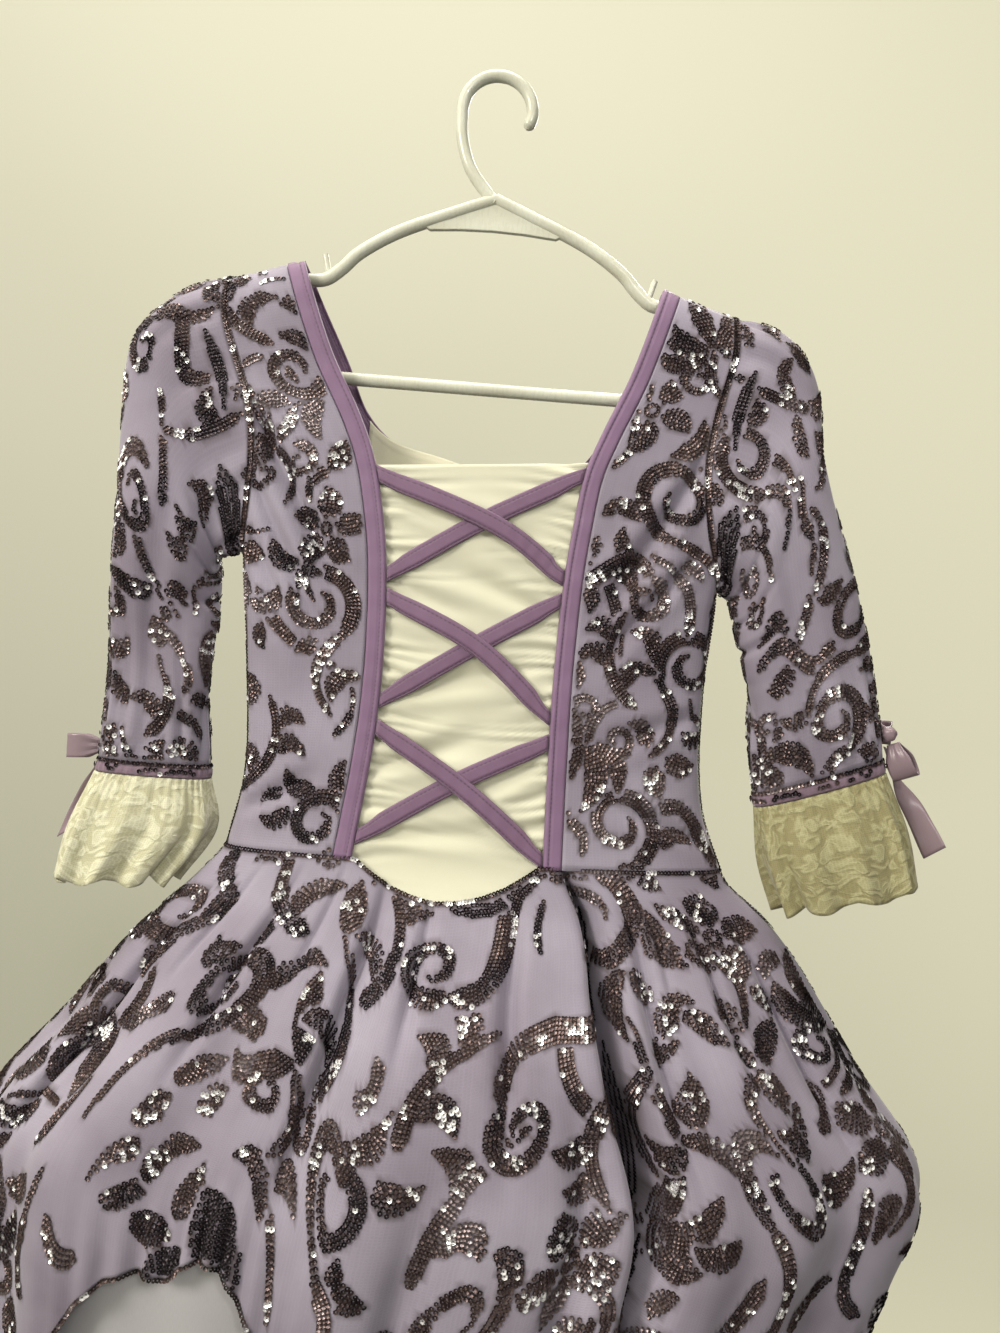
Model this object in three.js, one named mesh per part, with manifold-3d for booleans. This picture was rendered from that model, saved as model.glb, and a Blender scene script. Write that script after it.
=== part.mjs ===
// A child's sequinned dance costume hanging on a white tube hanger: millimetres, +Z up, the front faces -Y.
// The origin is the inside top of the hanger's hook. Left and right are the wearer's, so left is +X.
// Every cloth piece is a thin wall on one shared garment surface, 0.3 mm from its neighbours at the seams.

import * as THREE from 'three';
import { mergeVertices } from 'three/addons/utils/BufferGeometryUtils.js';
import Module from 'manifold-3d';

const wasm = await Module();
wasm.setup();

// ---------------------------------------------------------------- driving dimensions

const GAP = 0.3;

const WALL = {
  panel: 1.5,
  stomacher: 1.2,
  lining: 1.2,
  binding: 2.4,
  strap: 1.4,
  cuff: 1.8,
  lace: 1.2,
  ribbon: 1.0,
  underskirt: 1.4,
};

const BINDING_WIDTH = 10;
const STRAP_WIDTH = 10;
const RIBBON_WIDTH = 14;

// The garment as a stack of level rings: where each ring is centred, half its width, how far its front and
// back stand from the middle plane, and how square it is (2 is an ellipse).
const RINGS = [
  { z: -100, centre: 0, half: 200, front: 13, back: 13, square: 2.6 },
  { z: -150, centre: 1, half: 190, front: 14, back: 13.5, square: 2.6 },
  { z: -200, centre: 5, half: 172, front: 15, back: 14, square: 2.6 },
  { z: -245, centre: 8, half: 152, front: 16, back: 14.5, square: 2.6 },
  { z: -278, centre: 11, half: 134, front: 17, back: 15, square: 2.6 },
  { z: -340, centre: 13, half: 129, front: 19, back: 16, square: 2.6 },
  { z: -400, centre: 17, half: 129, front: 22, back: 18, square: 2.5 },
  { z: -443, centre: 22, half: 141, front: 27, back: 22, square: 2.35 },
  { z: -462, centre: 26, half: 160, front: 34, back: 26, square: 2.3 },
  { z: -480, centre: 26, half: 177, front: 45, back: 30, square: 2.25 },
  { z: -500, centre: 24, half: 194, front: 57, back: 34, square: 2.2 },
  { z: -540, centre: 23, half: 223, front: 77, back: 41, square: 2.2 },
  { z: -597, centre: 21.5, half: 265, front: 92, back: 48, square: 2.2 },
  { z: -645, centre: 14, half: 259, front: 97, back: 50, square: 2.2 },
  { z: -700, centre: 7, half: 248, front: 95, back: 51, square: 2.2 },
  { z: -785, centre: 8, half: 246, front: 98, back: 53, square: 2.2 },
];

// The line of the shoulder seam, and how far below it the cloth has opened to its full depth.
const SHOULDER = { insideX: 107, z: -113, fall: 0.32, reach: 26 };

// The armhole and, below the armpit, the side seam: half the panel's width at each height.
const ARMPIT_Z = -278;
const SIDES = [
  { z: -124, half: 143 },
  { z: -150, half: 142 },
  { z: -188, half: 131 },
  { z: -215, half: 127 },
  { z: -245, half: 129 },
  { z: -278, half: 134 },
  { z: -340, half: 129 },
  { z: -400, half: 129 },
  { z: -443, half: 141 },
];
const SIDE_TOP_Z = SIDES[0].z;
const ARMHOLE_GAP = 1.4;

// The front opening along the middle of each binding.
const OPENING = [
  { z: -113, centre: 0, half: 107 },
  { z: -165, centre: 3, half: 89 },
  { z: -200, centre: 5.5, half: 72.5 },
  { z: -222, centre: 6.5, half: 64 },
  { z: -250, centre: 8, half: 58.5 },
  { z: -283, centre: 9, half: 54.5 },
  { z: -335, centre: 9.5, half: 52.5 },
  { z: -380, centre: 9, half: 53.5 },
  { z: -443, centre: 6.5, half: 57.5 },
];

// The back neck along the middle of its binding, from the wearer's right shoulder to the left.
const BACK_NECK = [
  { x: -107, z: -113 },
  { x: -97, z: -133 },
  { x: -80, z: -165 },
  { x: -66, z: -194 },
  { x: -48, z: -211 },
  { x: -15, z: -220 },
  { x: 22, z: -229 },
  { x: 53, z: -229 },
  { x: 73, z: -210 },
  { x: 90, z: -176 },
  { x: 101, z: -140 },
  { x: 107, z: -113 },
];
const LINING = { fromX: -60, toX: 61, deep: 30, aboveBinding: 0.8, halvings: 30 };

// The waist seam: nearly level, with the stomacher dipping to a rounded point.
const WAIST = { z: -441.5, middle: 22, rise: 0.028, dipCentre: 6.5, dipHalf: 50, dip: 20 };
const STOMACHER_TOP = { z: -220.5, middle: 6, rise: 0.09 };
const STOMACHER_UNDERLAP = 3;

// The lacing: where each strap leaves the right-hand binding, its middle and where it meets the left-hand one,
// and where a pair crosses.
const STRAPS = [
  { name: 'strap_1_down', startZ: -230.5, midX: 24, midZ: -257, endZ: -280.5, crossX: 6, over: true },
  { name: 'strap_1_up', startZ: -286, midX: 8, midZ: -254, endZ: -222.5, crossX: 6, over: false },
  { name: 'strap_2_down', startZ: -298, midX: 14, midZ: -322.5, endZ: -358.5, crossX: 13, over: true },
  { name: 'strap_2_up', startZ: -356, midX: 11, midZ: -322.5, endZ: -293, crossX: 13, over: false },
  { name: 'strap_3_down', startZ: -370.5, midX: 12, midZ: -400.5, endZ: -436, crossX: 8, over: true },
  { name: 'strap_3_up', startZ: -431, midX: 5, midZ: -399, endZ: -371.5, crossX: 8, over: false },
];
const STRAP = { hump: 34, gap: 0.6 };

// Each sleeve after its armhole: the outermost and innermost point of each ring, and half its depth.
const SLEEVES = {
  left: [
    { outX: 176, outZ: -139, inX: 150, inZ: -284, depth: 15 },
    { outX: 194, outZ: -164, inX: 156, inZ: -290, depth: 17 },
    { outX: 201, outZ: -198, inX: 161, inZ: -299, depth: 18 },
    { outX: 209, outZ: -231, inX: 164, inZ: -311, depth: 18 },
    { outX: 219, outZ: -264, inX: 166, inZ: -326, depth: 17 },
    { outX: 229, outZ: -296, inX: 169, inZ: -342, depth: 16 },
    { outX: 239, outZ: -328, inX: 172, inZ: -361, depth: 15 },
    { outX: 247, outZ: -367, inX: 177, inZ: -392, depth: 14 },
  ],
  right: [
    { outX: -174, outZ: -142, inX: -131, inZ: -283, depth: 15 },
    { outX: -191, outZ: -165, inX: -135, inZ: -288, depth: 17 },
    { outX: -196, outZ: -199, inX: -137, inZ: -296, depth: 18 },
    { outX: -199, outZ: -233, inX: -138.5, inZ: -308, depth: 18 },
    { outX: -198, outZ: -268, inX: -139, inZ: -324, depth: 17 },
    { outX: -195, outZ: -304, inX: -139, inZ: -343, depth: 16 },
    { outX: -192, outZ: -346, inX: -137.5, inZ: -368, depth: 15 },
    { outX: -195.5, outZ: -401.5, inX: -134, inZ: -401.5, depth: 14 },
  ],
};

// The cuffs and lace frills hang on from the last sleeve ring.
const CUFFS = {
  left: { outX: 249.3, outZ: -374, inX: 178, inZ: -399.5, depth: 14 },
  right: { outX: -197, outZ: -408.5, inX: -133, inZ: -408.5, depth: 14 },
};
const FRILLS = {
  left: [
    { outX: 264, outZ: -407, inX: 184, inZ: -428, depth: 19 },
    { outX: 270, outZ: -436, inX: 197, inZ: -455, depth: 21 },
  ],
  right: [
    { outX: -209, outZ: -440, inX: -129, inZ: -434, depth: 19 },
    { outX: -213, outZ: -469, inX: -150, inZ: -464, depth: 20 },
  ],
};
const FRILL = { waves: 10, waveDepth: 4, scallops: 8, scallopDrop: 4 };

// Bows: where each knot sits on the outside of the sleeve's end, and the directions its loops point and its
// ribbon lies across. A tail hangs through its points, turning from the first direction across to the second.
const BOWS = {
  left: {
    knot: [249.8, -3, -352.5],
    loops: {
      front: { along: [0.42, -0.1, -0.9], across: [0.72, -0.55, 0.42] },
      back: { along: [0.2, 0.97, 0], across: [0, 0, 1] },
    },
    tails: {
      front: {
        points: [[252.5, 8, -360.7], [261, 9, -380], [271, 5, -396], [282, -1, -418]],
        across: [[0.1, 1, 0.1], [0.75, -0.6, 0.3]],
      },
      back: {
        points: [[251, 18, -360.4], [257, 24, -381], [261, 28, -399], [263, 30, -416]],
        across: [[0, 1, 0], [0.3, 0.9, 0]],
      },
    },
  },
  right: {
    knot: [-194.8, 12.6, -396],
    loops: {
      front: { along: [-0.99, 0.05, -0.08], across: [-0.08, 0.1, 1] },
      back: { along: [-0.1, 0.99, -0.05], across: [0, 0, 1] },
    },
    tails: {
      front: {
        points: [[-199.4, 12.4, -404.3], [-207, 17, -419], [-214, 19, -434], [-221, 18, -450]],
        across: [[0.6, 0.8, 0], [0.8, -0.3, 0.1]],
      },
      back: {
        points: [[-193.4, 27.4, -404.3], [-196, 33, -420], [-199, 36, -435], [-203, 37, -450]],
        across: [[0.6, 0.8, 0], [0.9, 0.4, 0]],
      },
    },
  },
};
const BOW = { knotRadius: 4.2, knotLength: 8, loopLength: 22, loopBulge: 6, tailWidth: 12, slantCut: 5 };

// The skirt's folds, as angles round the ring from the wearer's left through the front (degrees): how deep
// and wide each is, and the height where it starts to open.
const FOLDS = [
  { angle: 12, depth: 7, width: 7, fromZ: -470 },
  { angle: 40, depth: 6, width: 6, fromZ: -460 },
  { angle: 56, depth: 5, width: 4, fromZ: -470 },
  { angle: 73, depth: 17, width: 4.5, fromZ: -446 },
  { angle: 91, depth: 4, width: 4, fromZ: -450 },
  { angle: 104, depth: 4, width: 4, fromZ: -450 },
  { angle: 121, depth: 5, width: 5, fromZ: -480 },
  { angle: 146, depth: 7, width: 6, fromZ: -500 },
  { angle: 168, depth: 7, width: 6, fromZ: -490 },
  { angle: 200, depth: 5, width: 7, fromZ: -470 },
  { angle: 228, depth: 6, width: 6, fromZ: -460 },
  { angle: 252, depth: 5, width: 5, fromZ: -460 },
  { angle: 271, depth: 7, width: 6, fromZ: -450 },
  { angle: 290, depth: 5, width: 5, fromZ: -470 },
  { angle: 315, depth: 6, width: 6, fromZ: -460 },
  { angle: 340, depth: 6, width: 7, fromZ: -480 },
];
const FOLD_OPENS_OVER = 70;
const FOLD_AT_SEAM = 0.15;

// The overskirt's hem is picked up into swags: the angle of each pick-up, its lift and half its span.
const OVERSKIRT_HEM_Z = -742;
const PICK_UPS = [
  { angle: 21, lift: 46, span: 22 },
  { angle: 67, lift: 62, span: 22 },
  { angle: 112.5, lift: 112, span: 12.5 },
  { angle: 121, lift: 98, span: 19 },
  { angle: 188, lift: 48, span: 22 },
  { angle: 229, lift: 62, span: 22 },
  { angle: 272, lift: 66, span: 22 },
  { angle: 315, lift: 58, span: 22 },
];
const UNDERSKIRT = { hemZ: -778, topInset: 1.8, fullInset: 12, insetOver: 60, belowWaist: 4 };
const WAIST_GAP = 1;

// The hanger, about its own middle, which sits a little to the wearer's left of the hook.
const HANGER = {
  middleX: 3,
  tube: 7.4,
  hookRadius: 20,
  hookTube: 7,
  barZ: -175.5,
  webThickness: 3.4,
  tubeSides: 10,
  tubeSteps: { hook: 34, arm: 38 },
};
const ARM = [
  { x: 0, z: -67 },
  { x: 22, z: -76 },
  { x: 56, z: -91 },
  { x: 76, z: -104.5 },
  { x: 84, z: -113 },
  { x: 93, z: -120 },
  { x: 106, z: -121.8 },
  { x: 119, z: -126.5 },
  { x: 140, z: -139 },
  { x: 164, z: -153.5 },
  { x: 178, z: -164.5 },
  { x: 180.5, z: -171.5 },
  { x: 174, z: HANGER.barZ },
];
const STEM = [
  { x: -20, z: -20 },
  { x: -18.6, z: -34 },
  { x: -13, z: -50 },
  { x: -3, z: -63 },
  { x: 3, z: -69 },
];
const WEB = [
  { x: 0, z: -66 },
  { x: 22, z: -75 },
  { x: 42, z: -84 },
  { x: 36, z: -87.5 },
  { x: 18, z: -86 },
  { x: 0, z: -85.5 },
];
const SPUR = { x: 92.5, z: -118, rise: 8, radius: 1.6, lean: 12 };
const HOOK_BEND = { from: -28, to: 180, step: 26 };

const COLOURS = {
  hanger: 0xe9e7d6,
  lavender: 0xb3a6b8,
  binding: 0x8f7288,
  cream: 0xe4deba,
  lining: 0xd8d0ab,
  lace: 0xd0c9a0,
  ribbon: 0x9c7f92,
  underskirt: 0xd9d7cc,
};
const MATT = 0.8;
const SATIN = 0.35;

// ---------------------------------------------------------------- small helpers

const DEGREES = Math.PI / 180;
const clamp = (value, low, high) => Math.min(high, Math.max(low, value));
const mix = (a, b, t) => a + (b - a) * t;
const smooth = (t) => clamp(t, 0, 1) ** 2 * (3 - 2 * clamp(t, 0, 1));
const signedPower = (value, power) => Math.sign(value) * Math.abs(value) ** power;

// A smooth function of height through one column of a table whose rows go down.
function column(rows, key) {
  const slopes = rows.map((row, i) => {
    const above = rows[Math.max(0, i - 1)];
    const below = rows[Math.min(rows.length - 1, i + 1)];
    return (below[key] - above[key]) / (below.z - above.z);
  });
  return (z) => {
    const inside = clamp(z, rows[rows.length - 1].z, rows[0].z);
    let i = 0;
    while (i < rows.length - 2 && inside < rows[i + 1].z) i += 1;
    const span = rows[i + 1].z - rows[i].z;
    const t = (inside - rows[i].z) / span;
    const [a, b] = [rows[i][key], rows[i + 1][key]];
    const [sa, sb] = [slopes[i] * span, slopes[i + 1] * span];
    return (
      a * (2 * t ** 3 - 3 * t ** 2 + 1) +
      sa * (t ** 3 - 2 * t ** 2 + t) +
      b * (3 * t ** 2 - 2 * t ** 3) +
      sb * (t ** 3 - t ** 2)
    );
  };
}

const ring = Object.fromEntries(
  ['centre', 'half', 'front', 'back', 'square'].map((key) => [key, column(RINGS, key)]),
);
const sideHalf = column(SIDES, 'half');
const openingCentre = column(OPENING, 'centre');
const openingHalf = column(OPENING, 'half');

const shoulderZ = (x) => SHOULDER.z - (Math.abs(x) - SHOULDER.insideX) * SHOULDER.fall;

const levelWaistZ = (x) => WAIST.z + WAIST.rise * (x - WAIST.middle);

function waistZ(x) {
  const across = clamp((x - WAIST.dipCentre) / WAIST.dipHalf, -1, 1);
  return levelWaistZ(x) - WAIST.dip * (1 - across ** 2);
}

// ---------------------------------------------------------------- the garment's surface

const FRONT = -1;
const BACK = 1;

// The bodice: a point at (x, z) on the front or the back, which round in to the side and shoulder seams.
function onBodice(x, z, side) {
  const depth = side === FRONT ? ring.front(z) : ring.back(z);
  const across = Math.min(1, Math.abs(x - ring.centre(z)) / ring.half(z));
  const round = (1 - across ** ring.square(z)) ** (1 / ring.square(z));
  const down = clamp((shoulderZ(x) - z) / SHOULDER.reach, 0, 1);
  const tent = Math.sqrt(1 - (1 - down) ** 2);
  return new THREE.Vector3(x, side * (GAP / 2 + depth * round * tent), z);
}

// The same point moved straight out from the cloth, or in where the distance is negative.
function offBodice(x, z, side, out) {
  const step = 0.05;
  const here = onBodice(x, z, side);
  const across = onBodice(x + step, z, side).sub(here);
  const down = onBodice(x, z - step, side).sub(here);
  const normal = across.cross(down).normalize();
  return here.addScaledVector(normal, out * side * Math.sign(normal.y));
}

const foldReach = (fold, z) => smooth((fold.fromZ - z) / FOLD_OPENS_OVER + FOLD_AT_SEAM);

function turnBetween(a, b) {
  const turn = Math.abs(a - b) % 360;
  return Math.min(turn, 360 - turn);
}

// The skirt: a point at an angle round the ring (degrees from the wearer's left through the front).
function onSkirt(angle, z) {
  const power = 2 / ring.square(z);
  const c = Math.cos(angle * DEGREES);
  const s = Math.sin(angle * DEGREES);
  const depth = s >= 0 ? ring.front(z) : ring.back(z);
  const x = ring.half(z) * signedPower(c, power);
  const y = -depth * signedPower(s, power);
  const inward = new THREE.Vector2(-x / ring.half(z), -y / depth).normalize();
  let fold = 0;
  for (const row of FOLDS) {
    const turn = turnBetween(angle, row.angle) / row.width;
    fold += row.depth * foldReach(row, z) * Math.exp(-turn * turn);
  }
  return new THREE.Vector3(ring.centre(z) + x + fold * inward.x, y + fold * inward.y, z);
}

function hemZ(angle) {
  let lift = 0;
  for (const row of PICK_UPS) {
    const turn = clamp(turnBetween(angle, row.angle) / row.span, 0, 1);
    lift = Math.max(lift, row.lift * (1 - turn ** 2));
  }
  return OVERSKIRT_HEM_Z + lift;
}

// The normal of any surface given as point(u, v), u and v from 0 to 1.
function normalOf(surface, u, v) {
  const step = 1e-3;
  const [u0, u1] = [Math.max(0, u - step), Math.min(1, u + step)];
  const [v0, v1] = [Math.max(0, v - step), Math.min(1, v + step)];
  const across = surface(u1, v).clone().sub(surface(u0, v));
  const along = surface(u, v1).clone().sub(surface(u, v0));
  return across.cross(along).normalize();
}

// The same surface moved along its own normal, by a distance that may change along it.
function moved(surface, distance) {
  const by = typeof distance === 'function' ? distance : () => distance;
  return (u, v) => surface(u, v).clone().addScaledVector(normalOf(surface, u, v), by(u, v));
}

// ---------------------------------------------------------------- solids from surfaces

function solid(vertices, faces) {
  let volume = 0;
  for (const [a, b, c] of faces) {
    volume += vertices[a].dot(vertices[b].clone().cross(vertices[c]));
  }
  const index = faces.flatMap(([a, b, c]) => (volume < 0 ? [a, c, b] : [a, b, c]));
  const geometry = new THREE.BufferGeometry();
  geometry.setAttribute('position', new THREE.Float32BufferAttribute(vertices.flatMap((p) => p.toArray()), 3));
  geometry.setIndex(index);
  geometry.computeVertexNormals();
  return geometry;
}

const evenly = (t) => t;
const finerFirst = (t) => t ** 1.35;
const finerLast = (t) => Math.sin((t * Math.PI) / 2);

// A closed wall of even thickness on a surface, in a number of steps across and along. A closed surface joins
// its last column to its first, and a wall on one side of the garment stays on that side of the seams.
function wall(surface, options) {
  const { across, along, thickness, closed = false, side = 0 } = options;
  const { acrossEase = evenly, alongEase = evenly } = options;
  const columns = closed ? across : across + 1;
  const vertices = [];
  for (const face of [0.5, -0.5]) {
    for (let j = 0; j <= along; j += 1) {
      for (let i = 0; i < columns; i += 1) {
        const [u, v] = [acrossEase(i / across), alongEase(j / along)];
        const point = surface(u, v).clone().addScaledVector(normalOf(surface, u, v), face * thickness);
        if (side !== 0) point.y = side * Math.max(side * point.y, GAP / 2);
        vertices.push(point);
      }
    }
  }
  const layer = columns * (along + 1);
  const at = (face, i, j) => face * layer + j * columns + (i % columns);
  const faces = [];
  const quad = (a, b, c, d) => faces.push([a, b, c], [a, c, d]);
  for (let j = 0; j < along; j += 1) {
    for (let i = 0; i < across; i += 1) {
      quad(at(0, i, j), at(0, i + 1, j), at(0, i + 1, j + 1), at(0, i, j + 1));
      quad(at(1, i, j), at(1, i, j + 1), at(1, i + 1, j + 1), at(1, i + 1, j));
    }
  }
  for (let i = 0; i < across; i += 1) {
    quad(at(0, i + 1, 0), at(0, i, 0), at(1, i, 0), at(1, i + 1, 0));
    quad(at(0, i, along), at(0, i + 1, along), at(1, i + 1, along), at(1, i, along));
  }
  if (!closed) {
    for (let j = 0; j < along; j += 1) {
      quad(at(0, 0, j), at(0, 0, j + 1), at(1, 0, j + 1), at(1, 0, j));
      quad(at(0, across, j + 1), at(0, across, j), at(1, across, j), at(1, across, j + 1));
    }
  }
  return solid(vertices, faces);
}

// A surface inside four edges, each a function from 0 to 1 that gives (x, z), lifted onto the bodice.
function patch(edges, side) {
  const { top, bottom, first, last } = edges;
  const corners = [first(0), last(0), first(1), last(1)];
  return (u, v) => {
    const at = ['x', 'z'].map((key) => {
      const ruledDown = mix(top(u)[key], bottom(u)[key], v);
      const ruledAcross = mix(first(v)[key], last(v)[key], u);
      const upper = mix(corners[0][key], corners[1][key], u);
      const lower = mix(corners[2][key], corners[3][key], u);
      return ruledDown + ruledAcross - mix(upper, lower, v);
    });
    return onBodice(at[0], at[1], side);
  };
}

function toManifold(geometry) {
  const plain = geometry.clone();
  plain.deleteAttribute('normal');
  plain.deleteAttribute('uv');
  const merged = mergeVertices(plain, 1e-4);
  return new wasm.Manifold(
    new wasm.Mesh({
      numProp: 3,
      vertProperties: new Float32Array(merged.attributes.position.array),
      triVerts: new Uint32Array(merged.index.array),
    }),
  );
}

function fromManifold(body) {
  const mesh = body.getMesh();
  const geometry = new THREE.BufferGeometry();
  geometry.setAttribute('position', new THREE.Float32BufferAttribute(mesh.vertProperties, 3));
  geometry.setIndex(new THREE.Uint32BufferAttribute(mesh.triVerts, 1));
  geometry.computeVertexNormals();
  return geometry;
}

// ---------------------------------------------------------------- the pieces

const costume = new THREE.Group();
costume.name = 'tutu_dance_costume_on_a_hanger';

function add(name, geometry, colour, roughness = MATT) {
  const material = new THREE.MeshStandardMaterial({ color: colour, roughness, metalness: 0 });
  const mesh = new THREE.Mesh(geometry, material);
  mesh.name = name;
  costume.add(mesh);
  return mesh;
}

// The two sides of the garment: the sign of X and the wearer's word for it.
const BOTH = [
  { word: 'left', sign: 1 },
  { word: 'right', sign: -1 },
];

const FRONT_ROWS = 12;

const sideEdge = (sign, z, out = 0) => ({ x: ring.centre(z) + sign * (sideHalf(z) + out), z });

// A point beside the middle line of a front binding: t goes from the shoulder to the waist.
function besideOpening(sign, t, out) {
  const waistHalf = OPENING[OPENING.length - 1].half;
  const zAt = (s) => mix(SHOULDER.z, waistZ(WAIST.dipCentre + sign * waistHalf), s);
  const lineAt = (s) => new THREE.Vector2(openingCentre(zAt(s)) + sign * openingHalf(zAt(s)), zAt(s));
  const here = lineAt(t);
  const along = lineAt(Math.min(1, t + 1e-3)).sub(lineAt(Math.max(0, t - 1e-3))).normalize();
  return { x: here.x - sign * along.y * out, z: here.y + sign * along.x * out };
}

// The waist end of a panel or binding stops just above the waist seam.
const downToWaist = ({ x, z }) => ({ x, z: Math.max(z, waistZ(x)) });

function makeSideFront({ word, sign }) {
  const clear = BINDING_WIDTH / 2 + GAP;
  const inner = (v) => downToWaist(besideOpening(sign, v, clear));
  const outer = (v) => sideEdge(sign, mix(SIDE_TOP_Z, waistZ(sideEdge(sign, WAIST.z).x), v));
  const edges = {
    first: inner,
    last: outer,
    top: (u) => ({ x: mix(inner(0).x, outer(0).x, u), z: mix(inner(0).z, outer(0).z, u) }),
    bottom: (u) => {
      const x = mix(inner(1).x, outer(1).x, u);
      return { x, z: waistZ(x) };
    },
  };
  const steps = { across: 7, along: FRONT_ROWS, acrossEase: finerLast, alongEase: finerFirst };
  const geometry = wall(patch(edges, FRONT), { ...steps, thickness: WALL.panel, side: FRONT });
  add(`front_${word}`, geometry, COLOURS.lavender);
}

function makeFrontBinding({ word, sign }) {
  const surface = (u, v) => {
    const out = mix(-BINDING_WIDTH / 2, BINDING_WIDTH / 2, u);
    const { x, z } = downToWaist(besideOpening(sign, v, out));
    return onBodice(x, z, FRONT);
  };
  const steps = { across: 1, along: FRONT_ROWS, alongEase: finerFirst };
  const geometry = wall(surface, { ...steps, thickness: WALL.binding, side: FRONT });
  add(`binding_front_${word}`, geometry, COLOURS.binding);
}

// The stomacher lies just inside the bindings and reaches a little way under them.
const UNDER_BINDING = WALL.binding / 2 + GAP + WALL.stomacher / 2;

function makeStomacher() {
  const topAt = (x) => STOMACHER_TOP.z + STOMACHER_TOP.rise * (x - STOMACHER_TOP.middle);
  const surface = (u, v) => {
    const levelZ = mix(STOMACHER_TOP.z, waistZ(WAIST.middle + WAIST.dipHalf), v);
    const half = openingHalf(levelZ) - STOMACHER_UNDERLAP;
    const x = openingCentre(levelZ) + mix(-half, half, u);
    const z = mix(topAt(x), waistZ(x) + GAP, v);
    return offBodice(x, z, FRONT, -UNDER_BINDING);
  };
  const geometry = wall(surface, { across: 10, along: 11, thickness: WALL.stomacher });
  add('stomacher', geometry, COLOURS.cream, SATIN);
}

// How far a strap keeps its own square edge at a place along it: its ends are cut along the bindings instead.
const squareness = (v) => smooth(Math.min(v, 1 - v) * 6);

// A strap lies on the stomacher between the bindings; the upper one of a pair humps over the other.
function makeStrap({ name, startZ, midX, midZ, endZ, crossX, over }) {
  const inside = BINDING_WIDTH / 2 + 2 * GAP;
  const edgeX = (sign, z) => openingCentre(z) + sign * (openingHalf(z) - inside);
  const route = new THREE.CatmullRomCurve3([
    new THREE.Vector3(edgeX(-1, startZ), 0, startZ),
    new THREE.Vector3(midX, 0, midZ),
    new THREE.Vector3(edgeX(1, endZ), 0, endZ),
  ]);
  const lift = WALL.stomacher / 2 + STRAP.gap + WALL.strap / 2 - UNDER_BINDING;
  const surface = (u, v) => {
    const at = route.getPoint(v);
    const along = route.getTangent(v);
    const out = mix(-STRAP_WIDTH / 2, STRAP_WIDTH / 2, u);
    const z = at.z + along.x * out;
    const slanted = mix(edgeX(-1, z), edgeX(1, z), v);
    const x = mix(slanted, at.x - along.z * out, squareness(v));
    const hump = over ? Math.exp(-(((x - crossX) / STRAP.hump) ** 4)) : 0;
    return offBodice(x, z, FRONT, lift + hump * (WALL.strap + GAP));
  };
  add(name, wall(surface, { across: 1, along: 11, thickness: WALL.strap }), COLOURS.binding);
}

const backNeck = new THREE.CatmullRomCurve3(BACK_NECK.map(({ x, z }) => new THREE.Vector3(x, 0, z)));

// A point beside the back neck's binding: a positive distance is down into the back.
function besideBackNeck(t, out) {
  const at = backNeck.getPointAt(t);
  const along = backNeck.getTangentAt(t);
  return { x: at.x + along.z * out, z: at.z - along.x * out };
}

// The back's top edge takes a few steps along each shoulder and the rest round the neck.
const BACK_STEPS = { shoulder: 2, neck: 18, along: 9 };

function makeBack() {
  const clear = BINDING_WIDTH / 2 + GAP;
  const neck = (t) => besideBackNeck(t, clear);
  const across = BACK_STEPS.neck + 2 * BACK_STEPS.shoulder;
  const shoulderShare = BACK_STEPS.shoulder / across;
  const rightTop = sideEdge(-1, SIDE_TOP_Z);
  const leftTop = sideEdge(1, SIDE_TOP_Z);
  const between = (a, b, t) => ({ x: mix(a.x, b.x, t), z: mix(a.z, b.z, t) });
  const side = (sign) => (v) => sideEdge(sign, mix(SIDE_TOP_Z, levelWaistZ(sideEdge(sign, WAIST.z).x), v));
  const edges = {
    first: side(-1),
    last: side(1),
    top: (u) => {
      if (u < shoulderShare) return between(rightTop, neck(0), u / shoulderShare);
      if (u > 1 - shoulderShare) return between(leftTop, neck(1), (1 - u) / shoulderShare);
      return neck((u - shoulderShare) / (1 - 2 * shoulderShare));
    },
    bottom: (u) => {
      const x = mix(side(-1)(1).x, side(1)(1).x, (1 - Math.cos(u * Math.PI)) / 2);
      return { x, z: levelWaistZ(x) };
    },
  };
  const steps = { across, along: BACK_STEPS.along, alongEase: finerFirst };
  add('back', wall(patch(edges, BACK), { ...steps, thickness: WALL.panel, side: BACK }), COLOURS.lavender);
}

function makeBackBinding() {
  const surface = (u, v) => {
    const { x, z } = besideBackNeck(v, mix(-BINDING_WIDTH / 2, BINDING_WIDTH / 2, u));
    return onBodice(x, z, BACK);
  };
  const geometry = wall(surface, { across: 1, along: BACK_STEPS.neck, thickness: WALL.binding, side: BACK });
  add('binding_back_neck', geometry, COLOURS.binding);
}

// The strip of cream lining that shows inside the back neck.
function makeBackLining() {
  const neckAt = (x) => {
    let [low, high] = [0, 1];
    for (let i = 0; i < LINING.halvings; i += 1) {
      const middle = (low + high) / 2;
      if (backNeck.getPointAt(middle).x < x) low = middle;
      else high = middle;
    }
    return backNeck.getPointAt(low).z;
  };
  const surface = (u, v) => {
    const x = mix(LINING.fromX, LINING.toX, u);
    const top = neckAt(x) + BINDING_WIDTH / 2 + LINING.aboveBinding;
    return offBodice(x, top - LINING.deep * v, BACK, -(WALL.binding + WALL.lining) / 2 - GAP);
  };
  add('back_lining', wall(surface, { across: 9, along: 2, thickness: WALL.lining }), COLOURS.lining);
}

// ---------------------------------------------------------------- sleeves, cuffs and lace

const SLEEVE_SIDES = 16;
const SLEEVE_SQUARE = 2.4;

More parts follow.
